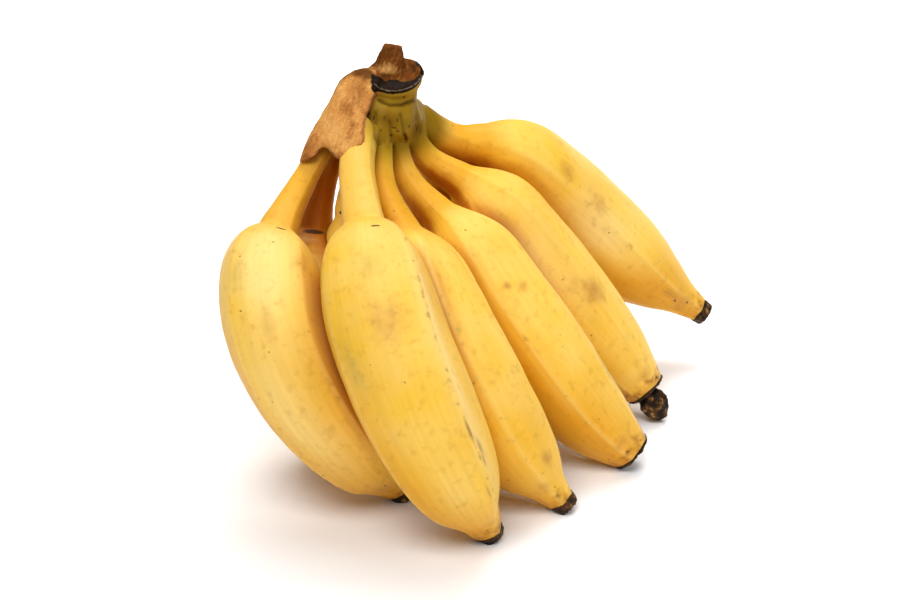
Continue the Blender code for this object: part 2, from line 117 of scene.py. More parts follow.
def unevenness(points, size, seed, octaves=2):  # soft noise, about -1 to 1, with bumps of this size in mm
    shifted = (points + 31.7 * seed) / size
    return np.array([noise.fractal(Vector(p), 1.0, 2.0, octaves) for p in shifted])


def addObject(name, points, faces, values=None):  # points in millimetres, in the frame of the routes
    placed = (np.asarray(points) - handCentre) * mm
    placed[:, 2] = np.maximum(placed[:, 2], 0)  # what stands on the surface is flat there
    mesh = bpy.data.meshes.new(name)
    mesh.from_pydata(placed.tolist(), [], faces)
    mesh.shade_smooth()
    for title, numbers in (values or {}).items():
        numbers = np.asarray(numbers, np.float32)
        kind, field = ("FLOAT_VECTOR", "vector") if numbers.ndim == 2 else ("FLOAT", "value")
        layer = mesh.attributes.new(title, kind, "POINT")
        layer.data.foreach_set(field, numbers.ravel())
    thing = bpy.data.objects.new(name, mesh)
    bpy.context.scene.collection.objects.link(thing)
    return thing


def ringFaces(rings, sides, start=0):  # quads between rings, and a fan on each end to two last points
    faces = []
    for i in range(rings - 1):
        row = start + i * sides
        for k in range(sides):
            after = (k + 1) % sides
            faces.append((row + k, row + sides + k, row + sides + after, row + after))
    first, last = start + rings * sides, start + rings * sides + 1
    bottom = start + (rings - 1) * sides
    for k in range(sides):
        after = (k + 1) % sides
        faces.append((first, start + k, start + after))
        faces.append((last, bottom + after, bottom + k))
    return faces


# The photograph's view, from 25 degrees above, in which the crown is drawn: x to the right, v up and w away,
# in mm.
frontTilt = math.radians(25)
frontUp = np.array([0, math.sin(frontTilt), math.cos(frontTilt)])
frontAway = np.array([0, math.cos(frontTilt), -math.sin(frontTilt)])
frontCentre = np.array([0, 0, 61.0])


def toFront(points):
    offset = points - frontCentre
    return points[..., 0], offset @ frontUp, offset @ frontAway


def fromFront(x, v, w):
    sideways = x[..., None] * np.array([1.0, 0, 0])
    return frontCentre + sideways + v[..., None] * frontUp + w[..., None] * frontAway


# One finger: its route from inside the crown down the neck, and from the shoulder to the tip. Girth is the
# body's greatest width, stalk the neck's width at the crown and end how long its dried flower is, in mm.
# Ridges are (degrees round from the outer line, height as a share of the half girth, wear), and twist is how
# far they wind, in degrees, from end to end. Crease is how deep, in mm, the fold is where the neck meets the
# body, and pale is how pale the neck is. Marks are (kind, share of the body, degrees, length, width,
# strength) in mm: light is a painted highlight in paler yellow, deep is painted shade in richer yellow, shade
# is painted shade in deep orange, olive a green streak down the neck, and the others are blemishes.
fingers = {
    "finger_outer_1": {
        "neck": [(-40, 19, 123), (-47, 12, 114), (-54.5, 1, 103.5)],
        "body": [(-61.5, -13, 93), (-62.5, -33, 77), (-55.5, -46, 60), (-40, -50, 36), (-19, -39, 5)],
        "girth": 39, "stalk": 8.5, "tip": "drawn", "end": 5, "pale": 0.15,
        "shoulder": "round", "crease": 0.4, "twist": -22,
        "ridges": [(8, 0.06, 0.4), (88, 0.075, 0.5), (150, 0.05, 0.2), (215, 0.06, 0.3), (290, 0.05, 0.3)],
        "marks": [
            ("dark", 0.035, 62, 1.3, 5, 1.0), ("grey", 0.19, 12, 14, 9, 0.6),
            ("brown", 0.17, 88, 12, 9, 0.6), ("brown", 0.33, 42, 12, 9, 0.55),
            ("dark", 0.28, 15, 0.9, 0.8, 0.8), ("dark", 0.45, 35, 0.9, 0.8, 0.9),
            ("dark", 0.11, 70, 0.8, 0.8, 0.8), ("dark", 0.52, 58, 0.9, 0.8, 0.7),
            ("dark", 0.55, 28, 0.9, 0.9, 0.8), ("dark", 0.72, 356, 1.2, 0.9, 0.9),
            ("dark", 0.73, 8, 0.8, 0.9, 0.8), ("dark", 0.88, 46, 1.2, 1.0, 0.9),
            ("brown", 0.62, 340, 14, 6, 0.5), ("brown", 0.9, 30, 12, 12, 0.6),
            ("scuff", 0.8, 60, 8, 3, 0.6), ("light", 0.19, 42, 30, 20, 0.9),
            ("light", 0.57, 20, 60, 22, 0.75), ("light", 0.36, 38, 34, 20, 0.4),
        ],
    },
    "finger_outer_2": {
        "neck": [(-31.3, 12, 124), (-33, 1, 117), (-32.4, -11, 110)],
        "body": [(-29.8, -26.5, 100.8), (-26.3, -45, 89), (-19, -63, 70), (-3.5, -76, 39), (13, -68, 4.8)],
        "girth": 41, "stalk": 12.5, "tip": "drawn", "end": 4, "pale": 0.75,
        "shoulder": "soft", "crease": 0.5, "twist": -20,
        "ridges": [(73, 0.11, 0.8), (132, 0.06, 0.3), (194, 0.06, 0.3), (262, 0.06, 0.3), (332, 0.085, 0.35)],
        "marks": [
            ("dark", 0.075, 40, 1.1, 4.5, 1.0), ("brown", 0.335, 27, 19, 17, 0.65),
            ("grey", 0.2, 24, 11, 10, 0.6), ("grey", 0.4, 337, 26, 8, 0.65),
            ("dark", 0.615, 21, 0.9, 0.9, 0.9), ("dark", 0.3, 48, 0.8, 0.8, 0.6),
            ("scuff", 0.64, 61, 10, 1.8, 1.0), ("scuff", 0.69, 68, 9, 4, 0.9),
            ("scuff", 0.72, 64, 7, 3, 0.8), ("scuff", 0.8, 52, 12, 1.8, 0.9),
            ("light", 0.46, 70, 100, 7, 0.8), ("olive", -0.3, 95, 46, 14, 0.75),
            ("light", 0.75, 15, 30, 18, 0.4), ("dark", 0.955, 20, 1.0, 1.0, 0.8),
            ("dark", 0.94, 60, 1.0, 1.2, 0.8), ("brown", 0.93, 40, 10, 10, 0.5),
        ],
    },
    "finger_outer_3": {
        "neck": [(-25, 19, 122), (-25.5, 13, 114), (-24.5, 4, 104)],
        "body": [(-17, -8, 90), (-9, -25, 74), (2, -37, 56), (20, -45, 29), (39.5, -46.5, 4.3)],
        "girth": 38, "stalk": 9.5, "tip": "drawn", "end": 4, "pale": 0.0,
        "shoulder": "soft", "crease": 0.05, "twist": -26,
        "ridges": [(60, 0.085, 0.5), (122, 0.05, 0.2), (186, 0.06, 0.3), (252, 0.05, 0.3), (330, 0.07, 0.5)],
        "marks": [
            ("grey", 0.37, 53, 2.5, 2.0, 0.9), ("grey", 0.5, 44, 2.5, 2.2, 0.9),
            ("brown", 0.83, 66, 8, 6, 0.9), ("brown", 0.9, 30, 9, 6, 0.7),
            ("dark", 0.93, 50, 1.0, 1.2, 0.8), ("dark", 0.88, 70, 0.9, 1.0, 0.7),
            ("dark", 0.86, 15, 1.4, 1.2, 0.8), ("shade", -0.05, 3, 18, 7, 0.6),
            ("olive", -0.26, 60, 30, 20, 0.5),
        ],
    },
    "finger_outer_4": {
        "neck": [(-20, 26, 120), (-19.5, 22, 111), (-15, 18, 100)],
        "body": [(-4, 12, 89), (12, 3, 68), (31, -7, 45), (48, -12, 24.5), (66, -13, 6.3)],
        "girth": 38, "stalk": 9.5, "tip": "blunt", "end": 4, "pale": 0.1,
        "shoulder": "late", "crease": 0.0, "twist": -18,
        "ridges": [(62, 0.07, 0.4), (128, 0.05, 0.2), (190, 0.05, 0.3), (256, 0.05, 0.3), (342, 0.06, 0.4)],
        "marks": [
            ("brown", 0.31, 73, 5, 4, 0.8), ("brown", 0.345, 87, 6, 5, 0.75),
            ("grey", 0.73, 128, 20, 7, 0.8), ("dark", 0.56, 91, 0.9, 0.9, 0.7),
            ("dark", 0.45, 60, 0.8, 0.8, 0.6), ("brown", 0.93, 60, 8, 14, 0.6),
            ("deep", 0.6, 12, 80, 24, 0.9), ("deep", 0.84, 42, 36, 22, 0.8),
            ("shade", -0.03, 8, 26, 8, 0.85),
        ],
    },
    "finger_outer_5": {
        "neck": [(-15, 33, 120), (-13.5, 30.5, 113), (-8, 31, 103.5)],
        "body": [(4, 30.5, 95.2), (21.5, 31, 74.5), (38, 32, 53), (57, 30, 31), (74, 26, 12)],
        "girth": 38, "stalk": 9.5, "tip": "blunt", "end": 12, "pale": 0.1,
        "shoulder": "late", "crease": 0.0, "twist": -14,
        "ridges": [(20, 0.05, 0.2), (78, 0.05, 0.2), (138, 0.05, 0.3), (200, 0.07, 0.4), (282, 0.05, 0.3)],
        "marks": [
            ("brown", 0.57, 193, 14, 12, 0.95), ("brown", 0.5, 180, 9, 8, 0.6),
            ("dark", 0.3, 205, 0.8, 0.8, 0.6), ("grey", 0.8, 190, 10, 8, 0.4),
            ("scuff", 0.75, 196, 12, 1.5, 0.6), ("brown", 0.94, 180, 8, 12, 0.6),
            ("light", 0.34, 165, 40, 22, 0.6), ("shade", -0.04, 118, 30, 9, 0.9),
        ],
    },
    "finger_outer_6": {
        "neck": [(-13, 40, 116.5), (-6.5, 43.5, 110.2), (3.5, 47.5, 103.4)],
        "body": [(12.5, 51.5, 100.3), (30, 62, 84.5), (50, 73, 62), (71, 78, 41), (98, 78, 20.5)],
        "girth": 38, "stalk": 12.5, "tip": "long", "end": 4, "pale": 0.0,
        "shoulder": "full", "crease": 0.0, "twist": -12,
        "ridges": [(30, 0.06, 0.2), (92, 0.05, 0.3), (160, 0.05, 0.4), (226, 0.075, 0.4), (300, 0.05, 0.3)],
        "marks": [
            ("brown", 0.214, 238, 12, 10, 0.8), ("brown", 0.4, 230, 15, 9, 0.75),
            ("scuff", 0.86, 200, 12, 6, 0.7), ("dark", 0.9, 190, 1.2, 1.5, 0.9),
            ("dark", 0.87, 176, 1.0, 1.2, 0.8), ("dark", 0.83, 186, 1.0, 1.0, 0.7),
            ("dark", 0.94, 205, 1.2, 1.4, 0.8), ("dark", 0.79, 170, 0.9, 1.0, 0.7),
            ("brown", 0.93, 200, 14, 12, 0.8), ("deep", 0.84, 196, 34, 34, 0.9),
            ("light", 0.47, 211, 40, 20, 0.9), ("shade", -0.04, 166, 30, 12, 0.85),
        ],
    },
    "finger_inner_1": {
        "neck": [(-40, 28, 122), (-43, 26, 112), (-47.7, 22, 97)],
        "body": [(-50, 17, 82), (-51, 8, 66), (-50, -4, 47), (-46, -8, 26), (-44, 0, 4.2)],
        "girth": 36, "stalk": 11, "tip": "drawn", "end": 4, "pale": 0.0,
        "shoulder": "round", "crease": 0.35, "twist": 10,
        "ridges": [(0, 0.06, 0.4), (72, 0.06, 0.4), (144, 0.05, 0.4), (216, 0.06, 0.4), (288, 0.05, 0.4)],
        "marks": [("dark", 0.015, 52, 2.0, 9, 1.0), ("shade", -0.12, 40, 42, 24, 1.0)],
    },
    "finger_inner_2": {
        "neck": [(-32, 27, 119), (-33.5, 23, 110), (-34.8, 17, 100)],
        "body": [(-35.5, 11, 89.5), (-26, 4, 71), (-11, -4, 50), (-1, -12, 28), (14, -14, 4)],
        "girth": 35, "stalk": 8.5, "tip": "drawn", "end": 4, "pale": 0.4,
        "shoulder": "round", "crease": 0.3, "twist": 12,
        "ridges": [(20, 0.06, 0.4), (92, 0.05, 0.4), (164, 0.06, 0.4), (236, 0.05, 0.4), (308, 0.06, 0.4)],
        "marks": [("dark", -0.01, 30, 1.2, 3, 0.9), ("scuff", -0.08, 20, 12, 5, 0.6)],
    },
    "finger_inner_3": {
        "neck": [(-22, 37, 117), (-22, 37, 108), (-20, 36, 99)],
        "body": [(-17, 34, 90), (-11, 30, 73), (-2, 28, 56), (14, 23, 34), (36, 32, 3.8)],
        "girth": 36, "stalk": 9.5, "tip": "drawn", "end": 4, "pale": 0.2,
        "shoulder": "soft", "crease": 0.1, "twist": -10,
        "ridges": [(50, 0.06, 0.5), (122, 0.05, 0.5), (194, 0.06, 0.5), (266, 0.05, 0.5), (338, 0.06, 0.5)],
        "marks": [("brown", 0.4, 220, 14, 10, 0.6), ("dark", 0.3, 200, 1.0, 1.0, 0.8)],
    },
    "finger_inner_4": {
        "neck": [(-17, 45, 116), (-15, 49, 109), (-11, 52, 101)],
        "body": [(-7, 54, 92), (1, 57, 76), (11, 60, 58), (28, 65, 32), (48, 70, 4.2)],
        "girth": 36, "stalk": 9.5, "tip": "drawn", "end": 4, "pale": 0.2,
        "shoulder": "soft", "crease": 0.1, "twist": 10,
        "ridges": [(30, 0.06, 0.5), (102, 0.05, 0.5), (174, 0.06, 0.5), (246, 0.05, 0.5), (318, 0.06, 0.5)],
        "marks": [
            ("brown", 0.5, 200, 16, 10, 0.6), ("scuff", 0.35, 240, 16, 1.6, 0.7),
            ("dark", 0.6, 180, 1.0, 1.0, 0.8),
        ],
    },
}

fingerSkin = {
    "columnsPerFace": 18,  # between two ridges
    "neckRings": 46,
    "bodyRings": 170,
    "start": 7,  # mm of the neck that are inside the crown
    "behind": 2.4,  # a finger shades the one behind it more than the one in front by this much
    "pressGap": 0.35,  # between two fingers that press on each other
    "pressSteps": 12,
    "keen": 0.55,  # 0 is a soft ridge, 1 a sharp one
    "flat": 0.03,  # how far the faces lie under the half girth
    "dents": 0.28,  # mm, uneven growth
    "dentSize": 17,
    "creaseWidth": 1.5,  # of the fold where the neck meets the body
    "rib": 0.22,  # mm, the sharp line along a ridge
    "ribWidth": 0.8,
    "ribStart": 12,  # mm past the shoulder where the ribs are full
    "spacing": (0.55, 0.45),  # shares of the body's rings that draw together at its ends and that are even
    "closeBy": 2,  # mm between two fingers that may press on each other
    "thinnest": 0.25,  # share of its half width that a pressed finger keeps
    "fibreRadius": 18,  # mm, of the tube that the fibres are drawn on
    "fibreShift": 170,  # mm, so that no two fingers have the same fibres
    "neckEnd": (-4, 7),  # mm past the shoulder where the neck's own colours end
    "shaded": (0.4, -0.5),  # painted shade: the skin is a richer yellow where it turns down
    "lit": (0.25, 0.95),  # and painted light: a paler one where it turns up
    "litShare": 0.35,
    "goldNeck": 0.85,  # how rich the yellow is of a neck that isn't pale, partly its own colour and partly painted shade
    "goldLost": 1.4,  # how fast a neck's paleness takes that away
    "tipWorn": (1.5, 11),  # mm from the tip
}

# Half widths of a body from its shoulder (0) to its tip (1), as shares of the half girth.
shoulderOutlines = {
    "round": [(0.00, 0.40), (0.025, 0.56), (0.05, 0.70), (0.09, 0.83), (0.15, 0.93), (0.25, 0.99)],
    "soft": [
        (0.00, 0.40), (0.02, 0.49), (0.045, 0.61), (0.08, 0.74),
        (0.13, 0.865), (0.20, 0.955), (0.28, 0.99),
    ],
    "late": [
        (0.00, 0.37), (0.02, 0.44), (0.045, 0.54), (0.08, 0.69),
        (0.13, 0.86), (0.20, 0.965), (0.28, 0.995),
    ],
    "full": [
        (0.00, 0.49), (0.02, 0.56), (0.045, 0.655), (0.08, 0.77),
        (0.13, 0.88), (0.20, 0.96), (0.28, 0.99),
    ],
}
bodyOutline = [(0.38, 1.00), (0.58, 0.96), (0.74, 0.84)]
tipOutlines = {
    "drawn": [(0.86, 0.62), (0.94, 0.37), (1.00, 0.26)],
    "blunt": [(0.86, 0.70), (0.94, 0.55), (1.00, 0.43)],
    "long": [(0.84, 0.62), (0.92, 0.39), (1.00, 0.25)],
}


def fingerForm(spec):
    line, steps, knots = smoothLine(spec["neck"] + spec["body"], lineSamples)
    shoulder = knots[len(spec["neck"])]
    along = unit(np.gradient(line, axis=0))
    middle = lineSamples // 2
    across = np.cross(line[middle] - line[0], line[-1] - line[middle])
    side = unit(across - np.sum(across * along, axis=1)[:, None] * along)
    halfGirth = spec["girth"] / 2
    outline = shoulderOutlines[spec["shoulder"]] + bodyOutline + tipOutlines[spec["tip"]]
    bodyShare = np.clip((steps - shoulder) / (steps[-1] - shoulder), 0, 1)
    neckShare = np.clip(steps / shoulder, 0, 1)
    root = spec["stalk"] / 2
    neck = root + (outline[0][1] * halfGirth - root) * neckShare**3
    body = smoothValue(outline, bodyShare) * halfGirth
    places, heights, wear = np.array(spec["ridges"], float).T
    return {
        "line": line,
        "steps": steps,
        "shoulder": shoulder,
        "along": along,
        "side": side,
        "outer": np.cross(along, side),
        "radius": np.where(steps < shoulder, neck, body),
        "turn": math.radians(spec["twist"]) * bodyShare,
        "ridgePlaces": np.radians(places),
        "ridgeHeights": heights,
        "ridgeWear": wear,
    }


def crest(share):  # a ridge's lift, from 1 on it to 0 half way to the next one
    rest = np.clip(1 - 2 * share, 0, 1)
    soft = 0.5 - 0.5 * np.cos(math.pi * rest)
    return fingerSkin["keen"] * rest**2 + (1 - fingerSkin["keen"]) * soft * rest


def betweenRidges(form, angle):
    edges = np.append(form["ridgePlaces"] - form["ridgePlaces"][0], fullTurn)
    turn = np.mod(angle - form["ridgePlaces"][0], fullTurn)
    low = np.clip(np.searchsorted(edges, turn, side="right") - 1, 0, len(edges) - 2)
    return low, (turn - edges[low]) / (edges[low + 1] - edges[low])


def ridged(form, angle):  # how far the skin stands out at an angle, as a share of the half width
    low, share = betweenRidges(form, angle)
    heights = np.append(form["ridgeHeights"], form["ridgeHeights"][0])
    return 1 - fingerSkin["flat"] + heights[low] * crest(share) + heights[low + 1] * crest(1 - share)


def gapTo(form, points):  # how far each point is outside a finger's skin, negative inside
    line = form["line"]
    nearest = np.argmin(np.sum(line**2, axis=1) - 2 * points @ line.T, axis=1)
    offset = points - line[nearest]
    toSide = np.sum(offset * form["side"][nearest], axis=1)
    toOuter = np.sum(offset * form["outer"][nearest], axis=1)
    skin = form["radius"][nearest] * ridged(form, np.arctan2(toSide, toOuter) - form["turn"][nearest])
    return np.linalg.norm(offset, axis=1) - skin


def readAlong(form, name, places):  # a form's value at shares of its whole length
    values = form[name]
    index = places * (lineSamples - 1)
    low = np.clip(index.astype(int), 0, lineSamples - 2)
    part = (index - low).reshape([-1] + [1] * (values.ndim - 1))
    return values[low] * (1 - part) + values[low + 1] * part


def markValues(form, spec, kind, distance, angles, radius):  # 0 to 1 where the finger has marks of a kind
    total = np.zeros(angles.shape)
    length = form["steps"][-1] - form["shoulder"]
    for title, share, degrees, long, wide, strength in spec["marks"]:
        if title != kind:
            continue
        down = (distance - form["shoulder"] - share * length)[:, None] / (long / 2)
        turn = np.mod(angles - math.radians(degrees) + math.pi, fullTurn) - math.pi
        round = turn * radius[:, None] / (wide / 2)
        total = np.maximum(total, strength * np.exp(-(down**2 + round**2)))
    return np.clip(total, 0, 1)


# The line inside the crown that the necks leave from, and the stalk above it.
crownCore = np.array([(-38, 20, 121), (-30, 17, 121.5), (-22, 20, 121), (-16, 29, 120), (-13, 38, 117.5)])
crownStalk = np.array([(-20.5, 24, 122), (-20.4, 25, 139)])


def coreDistance(points):  # mm from the crown's middle lines
    flat = points.reshape(-1, 3)
    near = np.full(len(flat), np.inf)
    for line in (crownCore, crownStalk):
        for a, b in zip(line, line[1:]):
            share = np.clip((flat - a) @ (b - a) / ((b - a) @ (b - a)), 0, 1)
            near = np.minimum(near, np.linalg.norm(flat - a - share[:, None] * (b - a), axis=1))
    return near.reshape(points.shape[:-1])


# How the flesh changes with the distance from the crown's middle lines, in mm.
fleshFades = {
    "green": (7, 21),  # the green goes
    "pale": (9, 19),  # a neck's own paleness comes
    "parted": (6.5, 10),  # the necks leave each other
    "openGap": 10,  # mm between two fingers that shade each other no more
}


def greenAt(points):  # the flesh near the crown is still green
    return 1 - smoothStep(*fleshFades["green"], coreDistance(points))


def paleAt(points, share):  # the necks' own paleness, none where they leave the crown
    return share * smoothStep(*fleshFades["pale"], coreDistance(points))


def shading(other, form):  # what the gap to another finger counts for: one that is behind shades less
    ahead = other["line"].mean(axis=0) @ frontAway < form["line"].mean(axis=0) @ frontAway
    return 1 if ahead else fingerSkin["behind"]


def openness(points, gap):  # from 0 where two fingers touch to 1 where they are apart or still one flesh, for painted shade
    apart = np.clip(gap / fleshFades["openGap"], 0, 1)
    return np.clip(apart + 1 - smoothStep(*fleshFades["parted"], coreDistance(points)), 0, 1)


def addFinger(name, form, neighbours, number, peel):
    spec = fingers[name]
    skin = fingerSkin
    length = form["steps"][-1]
    shoulder = form["shoulder"] / length
    neck = np.linspace(skin["start"] / length, shoulder, skin["neckRings"], endpoint=False)
    closing = 0.5 - 0.5 * np.cos(np.linspace(0, math.pi, skin["bodyRings"]))
    even = np.linspace(0, 1, skin["bodyRings"])
    atEnds, evenly = skin["spacing"]
    body = shoulder + (1 - shoulder) * (atEnds * closing + evenly * even)
    places = np.concatenate([neck, body])
    distance = places * length

    line = readAlong(form, "line", places)
    side = unit(readAlong(form, "side", places))
    outer = unit(readAlong(form, "outer", places))
    radius = readAlong(form, "radius", places)
    ridgePlaces = np.append(form["ridgePlaces"], form["ridgePlaces"][0] + fullTurn)
    columns = skin["columnsPerFace"]
    angles = np.concatenate(
        [np.linspace(a, b, columns, endpoint=False) for a, b in zip(ridgePlaces, ridgePlaces[1:])]
    )
    turned = angles[None, :] + readAlong(form, "turn", places)[:, None]
    spokes = np.cos(turned)[:, :, None] * outer[:, None, :] + np.sin(turned)[:, :, None] * side[:, None, :]
    reach = radius[:, None] * ridged(form, angles)[None, :]
    middle = line[:, None, :]
    points = (middle + spokes * reach[:, :, None]).reshape(-1, 3)
    reach += skin["dents"] * unevenness(points, skin["dentSize"], number).reshape(reach.shape)
    fold = np.exp(-(((distance - form["shoulder"]) / skin["creaseWidth"]) ** 2))
    reach -= spec["crease"] * fold[:, None]
    low, share = betweenRidges(form, angles)
    wear = form["ridgeWear"][np.where(share < 0.5, low, low + 1) % len(form["ridgeWear"])]
    nearRidge = np.minimum(share, 1 - share) * fullTurn / len(form["ridgePlaces"])
    bodyPart = smoothStep(form["shoulder"], form["shoulder"] + skin["ribStart"], distance)
    rib = np.exp(-((radius[:, None] * nearRidge[None, :] / skin["ribWidth"]) ** 2)) * bodyPart[:, None]
    reach += skin["rib"] * rib

    close = [other for other in neighbours if np.min(gapTo(other, points)) < skin["closeBy"]]
    full = reach.copy()
    for _ in range(skin["pressSteps"] if close else 0):
        points = (middle + spokes * reach[:, :, None]).reshape(-1, 3)
        room = np.min([gapTo(other, points) for other in close], axis=0).reshape(reach.shape)
        short = np.clip(reach - full - room + skin["pressGap"], 0, None)
        reach = np.maximum(reach - short / 2, skin["thinnest"] * full)
    points = (middle + spokes * reach[:, :, None]).reshape(-1, 3)
    # the gaps to the other fingers set the painted shade where they lie close
    gaps = [gapTo(other, points) * shading(other, form) for other in neighbours]
    room = openness(points, np.min(gaps, axis=0))

    onNeck = 1 - smoothStep(*(form["shoulder"] + np.array(skin["neckEnd"])), distance)
    flatSpace = np.stack(
        [
            np.broadcast_to(np.cos(angles) * skin["fibreRadius"], reach.shape),
            np.broadcast_to(np.sin(angles) * skin["fibreRadius"], reach.shape),
            np.broadcast_to(distance[:, None] + skin["fibreShift"] * number, reach.shape),
        ],
        axis=-1,
    ).reshape(-1, 3)
    sides = len(angles)
    ends = np.array([line[0], line[-1]])

    def withEnds(values):  # the two end points take the values of their rings
        grid = np.broadcast_to(values, reach.shape).reshape(-1)
        return np.concatenate([grid, [grid[0], grid[-1]]])

    # Painted light and shade: the light marks and the sides that turn up are painted paler (upper); the deep
    # marks, the sides that turn down and the necks a richer yellow (under).
    light = markValues(form, spec, "light", distance, turned, radius)
    deep = markValues(form, spec, "deep", distance, turned, radius)
    upward = spokes[:, :, 2]
    lit = skin["litShare"] * smoothStep(*skin["lit"], upward) * bodyPart[:, None]
    shaded = smoothStep(*skin["shaded"], upward) * bodyPart[:, None]
    green = greenAt(points).reshape(reach.shape)
    # painted shade: necks that aren't pale are a richer yellow, less so where the flesh is still green
    golden = skin["goldNeck"] * max(1 - skin["goldLost"] * spec["pale"], 0)
    shaded = np.maximum(shaded, golden * onNeck[:, None] * (1 - green) ** 2)
    values = {
        "room": withEnds(room.reshape(reach.shape)),
        "under": withEnds(np.clip(shaded + deep - light, 0, 1)),
        "upper": withEnds(np.clip(lit + light, 0, 1)),
        "ridge": withEnds(rib),
        "wear": withEnds(rib * wear[None, :]),
        "green": withEnds(green),
        "neck": withEnds(paleAt(points, spec["pale"]).reshape(reach.shape) * onNeck[:, None]),
        "tip": withEnds(1 - smoothStep(*skin["tipWorn"], length - distance)[:, None]),
        "flatSpace": np.concatenate([flatSpace, flatSpace[[0, -1]]]) * mm,
    }
    for kind in ("dark", "brown", "grey", "scuff", "shade", "olive"):
        values[kind] = withEnds(markValues(form, spec, kind, distance, turned, radius))
    faces = ringFaces(len(places), sides)
    thing = addObject(name.replace("finger", "peel"), np.concatenate([points, ends]), faces, values)
    thing.data.materials.append(peel)
    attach(thing, "root")
    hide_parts(name)


